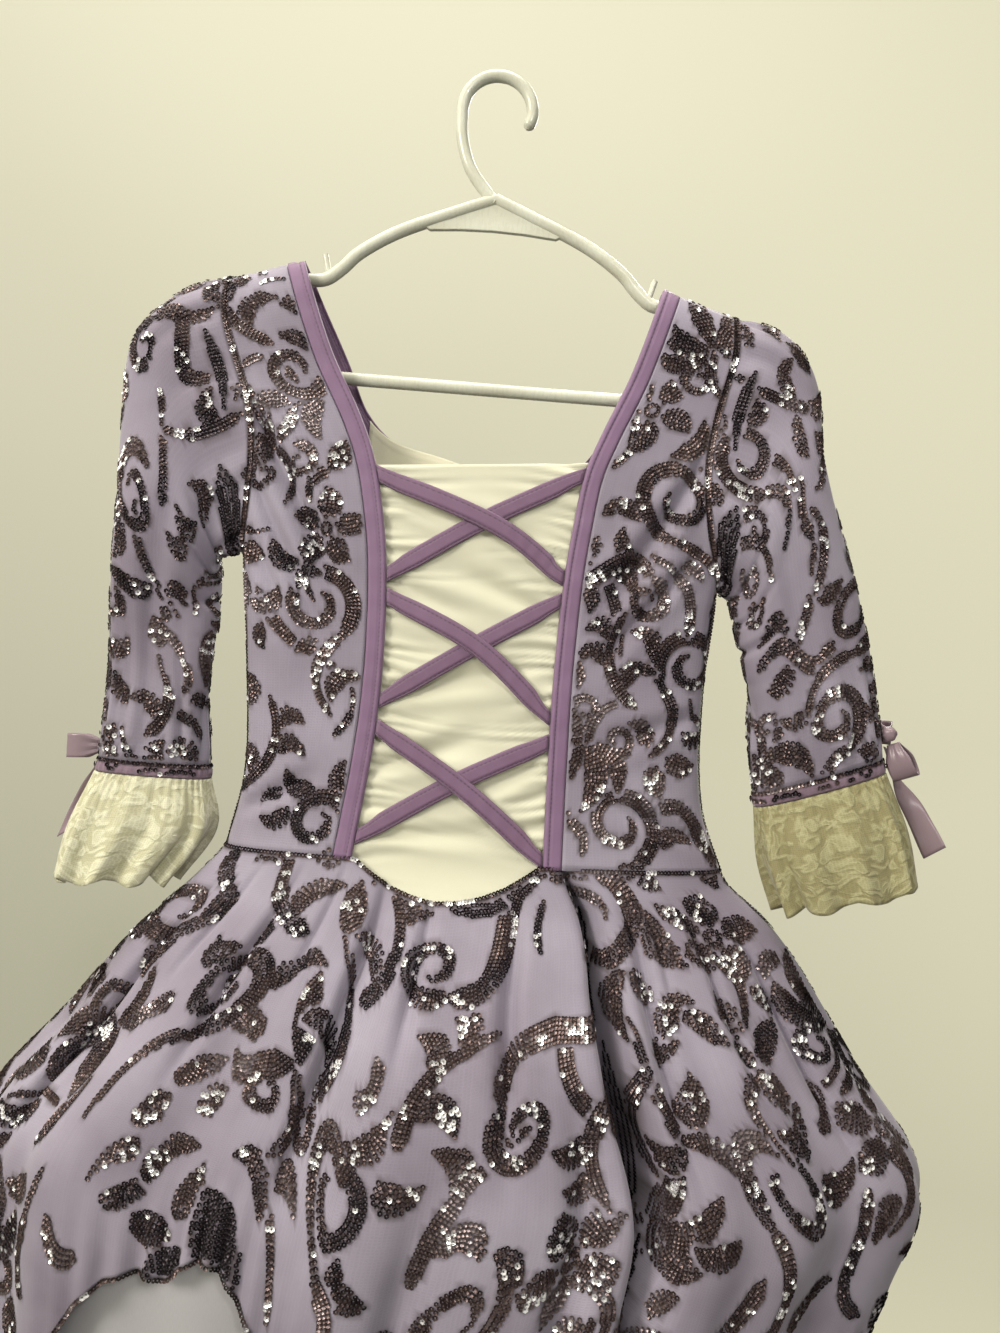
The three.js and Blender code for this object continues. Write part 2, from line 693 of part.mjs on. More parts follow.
// A level loop of a sleeve: 0 is its outermost point, a quarter turn is its front.
function sleeveLoop(row, angle) {
  const power = 2 / SLEEVE_SQUARE;
  const c = signedPower(Math.cos(angle), power);
  const s = signedPower(Math.sin(angle), power);
  return new THREE.Vector3(
    mix(row.inX, row.outX, (1 + c) / 2),
    -row.depth * s,
    mix(row.inZ, row.outZ, (1 + c) / 2),
  );
}

// The sleeve's first loop follows the armhole, just outside the front and back panels.
function armholeLoop(sign, angle) {
  const z = mix(ARMPIT_Z, SIDE_TOP_Z, (1 + Math.cos(angle)) / 2);
  const side = Math.sin(angle) >= 0 ? FRONT : BACK;
  const onEdge = onBodice(sideEdge(sign, z).x, z, side);
  const beyond = sideEdge(sign, z, ARMHOLE_GAP);
  return new THREE.Vector3(beyond.x, onEdge.y, z);
}

// A smooth surface through a list of loops, each a function of the angle.
function throughLoops(loops) {
  return (u, v) => {
    const angle = u * Math.PI * 2;
    const curve = new THREE.CatmullRomCurve3(loops.map((loop) => loop(angle)), false, 'centripetal');
    return curve.getPoint(v);
  };
}

function makeSleeve({ word, sign }) {
  const rows = SLEEVES[word];
  const loops = [(angle) => armholeLoop(sign, angle), ...rows.map((row) => (angle) => sleeveLoop(row, angle))];
  const steps = { across: SLEEVE_SIDES, along: 10, closed: true };
  add(`sleeve_${word}`, wall(throughLoops(loops), { ...steps, thickness: WALL.panel }), COLOURS.lavender);
}

// Moves a sleeve row along its own sleeve by a distance, towards the next row.
function rowTowards(row, next, distance) {
  const length = Math.hypot(next.outX - row.outX, next.outZ - row.outZ);
  const t = distance / length;
  return Object.fromEntries(Object.keys(next).map((key) => [key, mix(row[key], next[key], t)]));
}

function makeCuff({ word }) {
  const sleeveEnd = SLEEVES[word][SLEEVES[word].length - 1];
  const start = rowTowards(sleeveEnd, CUFFS[word], 2 * GAP);
  const loops = [start, CUFFS[word]].map((row) => (angle) => sleeveLoop(row, angle));
  const steps = { across: SLEEVE_SIDES, along: 1, closed: true };
  add(`cuff_${word}`, wall(throughLoops(loops), { ...steps, thickness: WALL.cuff }), COLOURS.lavender);
}

function makeFrill({ word }) {
  const rows = FRILLS[word];
  const top = rowTowards(CUFFS[word], rows[0], 2 * GAP);
  const smoothTube = throughLoops([top, ...rows].map((row) => (angle) => sleeveLoop(row, angle)));
  const gathered = (u, v) => {
    const angle = u * Math.PI * 2;
    const ripple = FRILL.waveDepth * v * Math.sin(angle * FRILL.waves);
    const point = smoothTube(u, v).addScaledVector(normalOf(smoothTube, u, v), ripple);
    point.z -= FRILL.scallopDrop * v * Math.abs(Math.sin((angle * FRILL.scallops) / 2));
    return point;
  };
  const steps = { across: 4 * FRILL.waves, along: 2, closed: true };
  add(`lace_${word}`, wall(gathered, { ...steps, thickness: WALL.lace }), COLOURS.lace);
}

// ---------------------------------------------------------------- bows

// A loop of ribbon: a teardrop with an open middle, as wide as the ribbon, its point at the knot.
function ribbonLoop() {
  const outline = (inset) => {
    const start = inset * 2.2;
    const swell = BOW.loopLength * 0.4;
    const tip = BOW.loopLength - inset;
    const bulge = BOW.loopBulge - inset;
    const path = new THREE.Shape();
    path.moveTo(start, 0);
    path.bezierCurveTo(swell, -bulge, tip, -bulge, tip, 0);
    path.bezierCurveTo(tip, bulge, swell, bulge, start, 0);
    return path;
  };
  const shape = outline(0);
  shape.holes.push(outline(WALL.ribbon));
  const steps = { bevelEnabled: false, curveSegments: 6 };
  const geometry = new THREE.ExtrudeGeometry(shape, { depth: RIBBON_WIDTH, ...steps });
  return geometry.translate(0, 0, -RIBBON_WIDTH / 2);
}

function ribbonKnot() {
  const { knotRadius: r, knotLength: long } = BOW;
  const profile = [
    [0, -long / 2],
    [r * 0.8, -long / 2],
    [r, -long / 4],
    [r, long / 4],
    [r * 0.8, long / 2],
    [0, long / 2],
  ].map(([x, y]) => new THREE.Vector2(x, y));
  return new THREE.LatheGeometry(profile, 10);
}

// Turns a mesh so that its X lies along one direction and its Z as near as it can to another.
function lay(mesh, at, along, across) {
  const x = new THREE.Vector3(...along).normalize();
  const y = new THREE.Vector3(...across).cross(x).normalize();
  const z = x.clone().cross(y);
  mesh.quaternion.setFromRotationMatrix(new THREE.Matrix4().makeBasis(x, y, z));
  mesh.position.copy(at);
}

// A hanging tail of ribbon, its end cut on the slant.
function ribbonTail({ points, across }) {
  const route = new THREE.CatmullRomCurve3(points.map((point) => new THREE.Vector3(...point)));
  const [first, last] = across.map((direction) => new THREE.Vector3(...direction).normalize());
  const surface = (u, v) => {
    const out = (u - 0.5) * BOW.tailWidth;
    const at = route.getPoint(v).addScaledVector(first.clone().lerp(last, v).normalize(), out);
    at.z += BOW.slantCut * (u - 0.5) * smooth(v * 3 - 2);
    return at;
  };
  return wall(surface, { across: 1, along: 6, thickness: WALL.ribbon });
}

function makeBow({ word }) {
  const { knot: place, loops, tails } = BOWS[word];
  const knotAt = new THREE.Vector3(...place);
  const knot = add(`bow_knot_${word}`, ribbonKnot(), COLOURS.ribbon, SATIN);
  lay(knot, knotAt, loops.front.along, loops.front.across);
  knot.rotateX(Math.PI / 2);
  for (const [end, { along, across }] of Object.entries(loops)) {
    const loop = add(`bow_loop_${end}_${word}`, ribbonLoop(), COLOURS.ribbon, SATIN);
    const out = new THREE.Vector3(...along).normalize().multiplyScalar(BOW.knotRadius + 2 * GAP);
    lay(loop, knotAt.clone().add(out), along, across);
  }
  for (const [end, tail] of Object.entries(tails)) {
    add(`bow_tail_${end}_${word}`, ribbonTail(tail), COLOURS.ribbon, SATIN);
  }
}

// ---------------------------------------------------------------- the skirts

// The height of the waist seam at an angle round the skirt, found by a few passes between height and width.
const WAIST_PASSES = 6;
function skirtTopZ(angle) {
  const waist = angle <= 180 ? waistZ : levelWaistZ;
  let z = WAIST.z;
  for (let pass = 0; pass < WAIST_PASSES; pass += 1) z = waist(onSkirt(angle, z).x) - WAIST_GAP;
  return z;
}

const HALVES = [
  {
    word: 'front',
    from: 0,
    to: 180,
    side: FRONT,
    over: { across: 32, along: 8 },
    under: { across: 24, along: 6 },
  },
  {
    word: 'back',
    from: 180,
    to: 360,
    side: BACK,
    over: { across: 22, along: 7 },
    under: { across: 16, along: 5 },
  },
];

function makeOverskirt({ word, from, to, side, over }) {
  const surface = (u, v) => {
    const angle = mix(from, to, u);
    return onSkirt(angle, mix(skirtTopZ(angle), hemZ(angle), v));
  };
  const geometry = wall(surface, { ...over, thickness: WALL.panel, side });
  add(`overskirt_${word}`, geometry, COLOURS.lavender);
}

function makeUnderskirt({ word, from, to, side, under }) {
  const { hemZ: hem, topInset, fullInset, insetOver, belowWaist } = UNDERSKIRT;
  const top = (angle) => skirtTopZ(angle) - belowWaist;
  const outer = (u, v) => {
    const angle = mix(from, to, u);
    return onSkirt(angle, mix(top(angle), hem, v));
  };
  const inset = (u, v) => {
    const below = v * (top(mix(from, to, u)) - hem);
    return -mix(topInset, fullInset, smooth(below / insetOver));
  };
  const steps = { ...under, alongEase: finerFirst };
  const geometry = wall(moved(outer, inset), { ...steps, thickness: WALL.underskirt, side });
  add(`underskirt_${word}`, geometry, COLOURS.underskirt, SATIN);
}

// ---------------------------------------------------------------- the hanger

function tubeAlong(points, radius, steps) {
  const route = new THREE.CatmullRomCurve3(points.map(([x, z]) => new THREE.Vector3(x, 0, z)));
  const section = new THREE.Shape();
  for (let i = 0; i < HANGER.tubeSides; i += 1) {
    const turn = (2 * Math.PI * (i + 0.5)) / HANGER.tubeSides;
    section[i ? 'lineTo' : 'moveTo'](radius * Math.cos(turn), radius * Math.sin(turn));
  }
  return toManifold(new THREE.ExtrudeGeometry(section, { steps, extrudePath: route, bevelEnabled: false }));
}

function makeHanger() {
  const { middleX, tube, hookRadius, hookTube, barZ, webThickness, tubeSides, tubeSteps } = HANGER;
  const hookCentreZ = hookTube / 2 - hookRadius;
  const bend = [];
  for (let degrees = HOOK_BEND.from; degrees <= HOOK_BEND.to; degrees += HOOK_BEND.step) {
    const turn = degrees * DEGREES;
    bend.push([hookRadius * Math.cos(turn), hookCentreZ + hookRadius * Math.sin(turn)]);
  }
  const hook = tubeAlong([...bend, ...STEM.map(({ x, z }) => [x, z])], hookTube / 2, tubeSteps.hook);
  const tip = new THREE.SphereGeometry(hookTube / 2, tubeSides, 6);
  tip.translate(bend[0][0], 0, bend[0][1]);

  const bodies = [hook, toManifold(tip)];
  for (const sign of [1, -1]) {
    const at = (x) => middleX + sign * x;
    bodies.push(tubeAlong(ARM.map(({ x, z }) => [at(x), z]), tube / 2, tubeSteps.arm));
    const spur = new THREE.CapsuleGeometry(SPUR.radius, SPUR.rise, 3, 8);
    spur.rotateX(Math.PI / 2);
    spur.rotateY(sign * SPUR.lean * DEGREES);
    spur.translate(at(SPUR.x), 0, SPUR.z + SPUR.rise / 2);
    bodies.push(toManifold(spur));
  }
  const barEnd = ARM[ARM.length - 1].x + 1;
  const bar = new THREE.CylinderGeometry(tube / 2, tube / 2, 2 * barEnd, tubeSides);
  bar.rotateZ(Math.PI / 2);
  bar.translate(middleX, 0, barZ);
  bodies.push(toManifold(bar));

  const outline = new THREE.Shape();
  const corners = [...WEB, ...WEB.slice(1, -1).reverse().map(({ x, z }) => ({ x: -x, z }))];
  corners.forEach(({ x, z }, i) => outline[i ? 'lineTo' : 'moveTo'](middleX + x, z));
  const web = new THREE.ExtrudeGeometry(outline, { depth: webThickness, bevelEnabled: false });
  web.rotateX(Math.PI / 2);
  web.translate(0, webThickness / 2, 0);
  bodies.push(toManifold(web));

  add('hanger', fromManifold(bodies.reduce((whole, body) => whole.add(body))), COLOURS.hanger, SATIN);
}

// ---------------------------------------------------------------- the whole costume

makeHanger();
for (const side of BOTH) {
  makeSideFront(side);
  makeFrontBinding(side);
}
makeStomacher();
STRAPS.forEach(makeStrap);
makeBack();
makeBackBinding();
makeBackLining();
for (const side of BOTH) {
  makeSleeve(side);
  makeCuff(side);
  makeFrill(side);
  makeBow(side);
}
for (const half of HALVES) {
  makeOverskirt(half);
  makeUnderskirt(half);
}

export default costume;
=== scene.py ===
"""A child's sequinned dance costume on a white tube hanger, dressed round its CAD frame.

Sizes are in millimetres until a mesh is made. Left and right are the wearer's, so left is +X, and the front
faces -Y. Every cloth piece lies on one shared form, the garment as it hangs.
"""

import logging
import math
from dataclasses import astuple, dataclass, field, replace
from enum import Enum
from typing import Callable, Sequence

import bmesh
import bpy
import numpy as np
from mathutils import Matrix, Vector, kdtree, noise


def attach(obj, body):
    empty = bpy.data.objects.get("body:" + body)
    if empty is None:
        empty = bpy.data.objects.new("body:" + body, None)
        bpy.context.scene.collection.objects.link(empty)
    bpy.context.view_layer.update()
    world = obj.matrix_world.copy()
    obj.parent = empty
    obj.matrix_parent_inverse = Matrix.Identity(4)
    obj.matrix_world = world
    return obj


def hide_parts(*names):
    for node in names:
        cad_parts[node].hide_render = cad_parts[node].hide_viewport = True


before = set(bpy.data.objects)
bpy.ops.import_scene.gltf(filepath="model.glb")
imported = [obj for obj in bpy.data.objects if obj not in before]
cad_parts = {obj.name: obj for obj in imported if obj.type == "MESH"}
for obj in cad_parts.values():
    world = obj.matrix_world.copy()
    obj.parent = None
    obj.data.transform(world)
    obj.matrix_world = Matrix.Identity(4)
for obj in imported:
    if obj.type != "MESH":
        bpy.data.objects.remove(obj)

log = logging.getLogger("costume")

Array = np.ndarray
Surface = Callable[[Array, Array], Array]
Rgb = tuple[float, float, float]
Piece = bpy.types.Object
Material = bpy.types.Material
Node = bpy.types.Node

MM = 0.001
BODY = "root"
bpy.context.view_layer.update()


class Side(Enum):
    """The front or the back of the garment, as the sign of Y."""

    FRONT = -1
    BACK = 1

    @property
    def word(self) -> str:
        """The side's name as the CAD nodes spell it."""
        return self.name.lower()


class Hand(Enum):
    """The wearer's left or right, as the sign of X."""

    LEFT = 1
    RIGHT = -1

    @property
    def word(self) -> str:
        """The hand's name as the CAD nodes spell it."""
        return self.name.lower()


# ---- small helpers


def mix(a: Array, b: Array, t: Array) -> Array:
    """A value part of the way from a to b."""
    return a + (b - a) * t


def smooth(t: Array) -> Array:
    """An easing from 0 to 1 that is level at both ends."""
    t = np.clip(t, 0.0, 1.0)
    return t * t * (3.0 - 2.0 * t)


def bell(off: Array) -> Array:
    """A soft hump: 1 in its middle and almost nothing from two away."""
    return np.exp(-(off**2))


def settled(u: Array, v: Array, over_u: float, over_v: float) -> Array:
    """A share that eases to nothing towards each sewn edge of a panel."""
    return smooth(np.minimum(u, 1 - u) * over_u) * smooth(np.minimum(v, 1 - v) * over_v)


def signed_power(value: Array, power: Array) -> Array:
    """A power that keeps the value's sign."""
    return np.sign(value) * np.abs(value) ** power


def unit(vectors: Array) -> Array:
    """The same vectors, each made one long."""
    return vectors / np.maximum(np.linalg.norm(vectors, axis=-1, keepdims=True), 1e-12)


def xyz(x: Array, y: Array, z: Array) -> Array:
    """Rows of x, y, z from three arrays or numbers that broadcast together."""
    return np.stack(np.broadcast_arrays(x, y, z), axis=-1).astype(float)


def polar(far: float, degrees: float) -> Array:
    """A flat point at a distance and an angle."""
    return far * np.array([math.cos(math.radians(degrees)), math.sin(math.radians(degrees))])


def run_of(points: Array) -> Array:
    """How far along a line each of its points is."""
    return np.concatenate([[0], np.cumsum(np.linalg.norm(np.diff(points, axis=0), axis=1))])


def way_of(curve: Callable[[Array], Array], t: Array, step: float) -> Array:
    """The way that a curve goes at places from 0 to 1, as unit vectors."""
    return unit(curve(np.minimum(t + step, 1)) - curve(np.maximum(t - step, 0)))


def tree_of(points: Array) -> kdtree.KDTree:
    """A tree that finds the nearest of many points."""
    tree = kdtree.KDTree(len(points))
    for k, point in enumerate(points):
        tree.insert(point, k)
    tree.balance()
    return tree


def normals_of(surface: Surface, u: Array, v: Array) -> Array:
    """The unit normals of a surface.

    Args:
        surface: gives points for two arrays of places.
        u: places along the first way.
        v: places along the second way.

    Returns:
        One normal for each place.
    """
    step = 1e-3
    across = surface(u + step, v) - surface(u - step, v)
    along = surface(u, v + step) - surface(u, v - step)
    return unit(np.cross(across, along))


def through(points: Array, t: Array) -> Array:
    """A centripetal Catmull-Rom curve through points, for many curves at once.

    Args:
        points: the points of each curve, shaped (how many points, how many curves, 3).
        t: the place on each curve, from 0 to 1.

    Returns:
        One point for each curve.
    """
    first = 2 * points[0] - points[1]
    last = 2 * points[-1] - points[-2]
    padded = np.concatenate([first[None], points, last[None]])
    spans = len(points) - 1
    place = np.clip(t, 0, 1) * spans
    i = np.minimum(place.astype(int), spans - 1)
    w = (place - i)[:, None]
    pick = np.arange(len(t))
    p0, p1, p2, p3 = (padded[i + k, pick] for k in range(4))
    d0, d1, d2 = (
        np.maximum(np.linalg.norm(b - a, axis=1, keepdims=True) ** 0.5, 1e-4)
        for a, b in ((p0, p1), (p1, p2), (p2, p3))
    )
    m1 = ((p1 - p0) / d0 - (p2 - p0) / (d0 + d1) + (p2 - p1) / d1) * d1
    m2 = ((p2 - p1) / d1 - (p3 - p1) / (d1 + d2) + (p3 - p2) / d2) * d1
    return (
        p1 * (2 * w**3 - 3 * w**2 + 1)
        + m1 * (w**3 - 2 * w**2 + w)
        + p2 * (3 * w**2 - 2 * w**3)
        + m2 * (w**3 - w**2)
    )


def one_curve(points: Sequence[Sequence[float]], t: Array) -> Array:
    """Places from 0 to 1 on one smooth curve through a few points."""
    return through(np.repeat(np.array(points, float)[:, None, :], len(t), axis=1), t)


# ---- the form that the cloth lies on


@dataclass(frozen=True)
class Ring:
    """One level ring of the garment: its middle, half width, depths and squareness."""

    z: float
    centre: float
    half: float
    front: float
    back: float
    square: float


@dataclass(frozen=True)
class Width:
    """Half a width, and its middle, at one height."""

    z: float
    half: float
    centre: float = 0.0


@dataclass(frozen=True)
class Fold:
    """A fold in the skirt: its angle, depth and width, its start and end, its lean in degrees for each metre and how
    far its edge hangs over it."""

    angle: float
    depth: float
    width: float
    from_z: float
    to_z: float = -900.0
    lean: float = 0.0
    overhang: float = 0.0


@dataclass(frozen=True)
class PickUp:
    """A place where the overskirt's hem is lifted: its angle, its lift and half its span."""

    angle: float
    lift: float
    span: float


@dataclass(frozen=True)
class Crease:
    """A soft trough pressed into flat cloth from one point to another, with low ridges beside it."""

    start: tuple[float, float]
    end: tuple[float, float]
    depth: float
    width: float

    def press(self, a: Array, b: Array) -> Array:
        """How far the crease moves the cloth in at each place.

        Args:
            a: places across the cloth.
            b: places down the cloth.

        Returns:
            The move along the cloth's normal, negative inwards.
        """
        first = np.array(self.start)
        way = np.array(self.end) - first
        length = np.linalg.norm(way)
        way = way / length
        da, db = a - first[0], b - first[1]
        t = (da * way[0] + db * way[1]) / length
        off = np.abs(da * way[1] - db * way[0]) / (self.width * (0.55 + 0.45 * np.clip(t, 0, 1)))
        fade = smooth((t + 0.12) / 0.3) * smooth((1.12 - t) / 0.5)
        return -self.depth * fade * (bell(off) - 0.45 * bell(off - 1.7))


def pressed(creases: Sequence[Crease], a: Array, b: Array) -> Array:
    """How far many creases move the cloth in at each place."""
    return sum(crease.press(a, b) for crease in creases)


class Column:
    """A smooth function of height through one column of a table whose rows go down."""

    def __init__(self, rows: Sequence, key: str) -> None:
        """Reads the column.

        Args:
            rows: the table, highest row first.
            key: the column's name.
        """
        self.z = np.array([row.z for row in rows], float)
        self.value = np.array([getattr(row, key) for row in rows], float)
        above = np.maximum(np.arange(len(rows)) - 1, 0)
        below = np.minimum(np.arange(len(rows)) + 1, len(rows) - 1)
        self.slope = (self.value[below] - self.value[above]) / (self.z[below] - self.z[above])

    def __call__(self, z: Array) -> Array:
        """The column's value at each height.

        Args:
            z: the heights.

        Returns:
            One value for each height.
        """
        z = np.clip(z, self.z[-1], self.z[0])
        i = np.clip(np.searchsorted(-self.z, -z, side="right") - 1, 0, len(self.z) - 2)
        span = self.z[i + 1] - self.z[i]
        t = (z - self.z[i]) / span
        return (
            self.value[i] * (2 * t**3 - 3 * t**2 + 1)
            + self.slope[i] * span * (t**3 - 2 * t**2 + t)
            + self.value[i + 1] * (3 * t**2 - 2 * t**3)
            + self.slope[i + 1] * span * (t**3 - t**2)
        )


RINGS = (
    Ring(-100, 0, 200, 13, 13, 2.6),
    Ring(-150, 1, 190, 14, 13.5, 2.6),
    Ring(-200, 5, 172, 15, 14, 2.6),
    Ring(-245, 8, 152, 16, 14.5, 2.6),
    Ring(-278, 11, 134, 17, 15, 2.6),
    Ring(-340, 13, 129, 19, 16, 2.6),
    Ring(-400, 17, 129, 22, 18, 2.5),
    Ring(-443, 22, 141, 27, 22, 2.35),
    Ring(-462, 26, 160, 34, 26, 2.3),
    Ring(-480, 26, 177, 45, 30, 2.25),
    Ring(-500, 24, 194, 57, 34, 2.2),
    Ring(-540, 23, 223, 77, 41, 2.2),
    Ring(-597, 21.5, 265, 92, 48, 2.2),
    Ring(-645, 14, 259, 97, 50, 2.2),
    Ring(-700, 7, 248, 95, 51, 2.2),
    Ring(-785, 8, 246, 98, 53, 2.2),
)

SIDES = (
    Width(-124, 143),
    Width(-150, 142),
    Width(-188, 131),
    Width(-215, 127),
    Width(-245, 129),
    Width(-278, 134),
    Width(-340, 129),
    Width(-400, 129),
    Width(-443, 141),
)

OPENING = (
    Width(-113, 107, 0),
    Width(-165, 89, 3),
    Width(-200, 72.5, 5.5),
    Width(-222, 64, 6.5),
    Width(-250, 58.5, 8),
    Width(-283, 54.5, 9),
    Width(-335, 52.5, 9.5),
    Width(-380, 53.5, 9),
    Width(-443, 57.5, 6.5),
)

BACK_NECK = (
    (-107, -113), (-97, -133), (-80, -165), (-66, -194), (-48, -211), (-15, -220),
    (22, -229), (53, -229), (73, -210), (90, -176), (101, -140), (107, -113),
)

# The skirt's main folds, as angles round the ring from the wearer's left through the front.
MAIN_FOLDS = (
    Fold(12, 7, 7, -470),
    Fold(40, 6, 6, -460),
    Fold(56, 5, 4, -470),
    Fold(72, 50, 1.9, -438, lean=-19, overhang=3.5),
    Fold(91, 4, 4, -450),
    Fold(104, 4, 4, -450),
    Fold(121, 5, 5, -480),
    Fold(146, 7, 6, -500),
    Fold(168, 7, 6, -490),
    Fold(200, 5, 7, -470),
    Fold(228, 6, 6, -460),
    Fold(252, 5, 5, -460),
    Fold(271, 7, 6, -450),
    Fold(290, 5, 5, -470),
    Fold(315, 6, 6, -460),
    Fold(340, 6, 7, -480),
)

PICK_UPS = (
    PickUp(21, 46, 22),
    PickUp(67, 62, 22),
    PickUp(112.5, 112, 12.5),
    PickUp(121, 98, 19),
    PickUp(188, 48, 22),
    PickUp(229, 62, 22),
    PickUp(272, 66, 22),
    PickUp(315, 58, 22),
)


@dataclass(frozen=True)
class Form:
    """The garment's shape as it hangs, which every cloth piece lies on."""

    gap: float = 0.3
    shoulder_x: float = 107.0
    shoulder_z: float = -113.0
    shoulder_fall: float = 0.32
    shoulder_reach: float = 26.0
    side_top_z: float = -124.0
    armpit_z: float = -278.0
    waist_level_z: float = -441.5
    waist_middle: float = 22.0
    waist_rise: float = 0.028
    dip_centre: float = 6.5
    dip_half: float = 50.0
    dip: float = 20.0
    fold_opens_over: float = 70.0
    fold_at_seam: float = 0.15
    overhang_at: float = 1.5
    hem_z: float = -742.0
    hem_soften: float = 14.0
    waist_gap: float = -0.4

    def ring(self, key: str, z: Array) -> Array:
        """One column of the ring table at each height."""
        return RING_COLUMNS[key](z)

    def shoulder(self, x: Array) -> Array:
        """The height of the shoulder seam."""
        return self.shoulder_z - (np.abs(x) - self.shoulder_x) * self.shoulder_fall

    def level_waist(self, x: Array) -> Array:
        """The height of the waist seam at the back."""
        return self.waist_level_z + self.waist_rise * (x - self.waist_middle)

    def waist(self, x: Array) -> Array:
        """The height of the waist seam at the front, with its rounded dip."""
        across = np.clip((x - self.dip_centre) / self.dip_half, -1, 1)
        return self.level_waist(x) - self.dip * (1 - across**2)

    def bodice(self, x: Array, z: Array, side: Side) -> Array:
        """Points on the front or the back of the bodice.

        Args:
            x: places across.
            z: heights.
            side: the front or the back.

        Returns:
            One point for each place.
        """
        depth = self.ring("front" if side is Side.FRONT else "back", z)
        square = self.ring("square", z)
        across = np.minimum(1.0, np.abs(x - self.ring("centre", z)) / self.ring("half", z))
        round_in = (1 - across**square) ** (1 / square)
        down = np.clip((self.shoulder(x) - z) / self.shoulder_reach, 0, 1)
        tent = np.sqrt(1 - (1 - down) ** 2)
        return xyz(x, side.value * (self.gap / 2 + depth * round_in * tent), z)

    def off_bodice(self, x: Array, z: Array, side: Side, out: Array) -> Array:
        """Points on the bodice moved straight out from the cloth, or in where out is negative.

        Args:
            x: places across.
            z: heights.
            side: the front or the back.
            out: how far to move each point.

        Returns:
            One point for each place.
        """
        step = 0.05
        here = self.bodice(x, z, side)
        across = self.bodice(x + step, z, side) - here
        down = self.bodice(x, z - step, side) - here
        normal = unit(np.cross(across, down))
        normal *= np.sign(normal[:, 1:2]) * side.value
        return here + normal * np.reshape(out, (-1, 1))

    def side_edge(self, hand: Hand, z: Array) -> Array:
        """The x of the armhole and side seam at each height."""
        return self.ring("centre", z) + hand.value * SIDE_HALF(z)

    def fold_at(self, fold: Fold, angle: Array, z: Array) -> tuple[Array, Array]:
        """Where places are in a fold.

        Args:
            fold: the fold.
            angle: places round the ring, in degrees.
            z: heights.

        Returns:
            How far each place is from the fold's middle, in its widths, and how open the fold is there.
        """
        middle = fold.angle + fold.lean * (fold.from_z - z) * MM
        turn = ((angle - middle + 180) % 360 - 180) / fold.width
        opened = smooth((fold.from_z - z) / self.fold_opens_over + self.fold_at_seam)
        return turn, opened * smooth((z - fold.to_z) / self.fold_opens_over)

    def folds(self, folds: Sequence[Fold], angle: Array, z: Array) -> Array:
        """How far in the folds bring the skirt at each place.

        Args:
            folds: the folds that count.
            angle: places round the ring, in degrees.
            z: heights.

        Returns:
            The depth at each place.
        """
        depth = np.zeros_like(angle * z)
        for fold in folds:
            turn, opened = self.fold_at(fold, angle, z)
            depth += fold.depth * opened * bell(turn)
        return depth

    def skirt(self, angle: Array, z: Array) -> Array:
        """Points on the skirt, with its main folds.

        Args:
            angle: places round the ring, in degrees from the wearer's left by the front.
            z: heights.

        Returns:
            One point for each place.
        """
        power = 2 / self.ring("square", z)
        c, s = np.cos(np.radians(angle)), np.sin(np.radians(angle))
        half = self.ring("half", z)
        depth = np.where(s >= 0, self.ring("front", z), self.ring("back", z))
        x = half * signed_power(c, power)
        y = -depth * signed_power(s, power)
        inward = -unit(np.stack([x / half, y / depth], axis=-1))
        depths = self.folds(MAIN_FOLDS, angle, z)
        centre = self.ring("centre", z)
        for fold in MAIN_FOLDS:
            if fold.overhang:
                turn, opened = self.fold_at(fold, angle, z)
                x = x + fold.overhang * opened * bell(turn - self.overhang_at)
        return xyz(centre + x + depths * inward[..., 0], y + depths * inward[..., 1], z)

    def off_skirt(self, angle: Array, z: Array, inward: Array) -> Array:
        """Points on the skirt moved straight in from the cloth.

        Args:
            angle: places round the ring.
            z: heights.
            inward: how far in to move each point.

        Returns:
            One point for each place.
        """
        turn = 0.2
        around = self.skirt(angle + turn, z) - self.skirt(angle - turn, z)
        down = self.skirt(angle, z - 1.0) - self.skirt(angle, z + 1.0)
        normal = unit(np.cross(around, down))
        c, s = np.cos(np.radians(angle)), np.sin(np.radians(angle))
        normal *= -np.sign(c * normal[:, 0] - s * normal[:, 1])[:, None]
        return self.skirt(angle, z) + normal * inward[:, None]

    def skirt_top(self, angle: Array) -> Array:
        """The height of the waist seam round the skirt.

        Args:
            angle: places round the ring.

        Returns:
            One height for each place.
        """
        z = np.full_like(angle, self.waist_level_z, dtype=float)
        for _ in range(6):
            x = self.skirt(angle, z)[:, 0]
            z = np.where(angle <= 180, self.waist(x), self.level_waist(x)) - self.waist_gap
        return z

    def hem(self, angle: Array) -> Array:
        """The height of the overskirt's picked-up hem.

        Args:
            angle: places round the ring.

        Returns:
            One height for each place.
        """
        lift = np.zeros_like(angle, dtype=float)
        for row in PICK_UPS:
            turn = np.abs(angle - row.angle) % 360
            turn = np.clip(np.minimum(turn, 360 - turn) / row.span, 0, 1)
            other = row.lift * (1 - turn**2)
            near = np.maximum(self.hem_soften - np.abs(lift - other), 0) / self.hem_soften
            lift = np.maximum(lift, other) + near**2 * self.hem_soften / 4 * (turn < 1)
        return self.hem_z + lift


RING_COLUMNS = {key: Column(RINGS, key) for key in ("centre", "half", "front", "back", "square")}
SIDE_HALF = Column(SIDES, "half")
OPENING_CENTRE = Column(OPENING, "centre")
OPENING_HALF = Column(OPENING, "half")
FORM = Form()


# ---- pieces and the way they are dressed


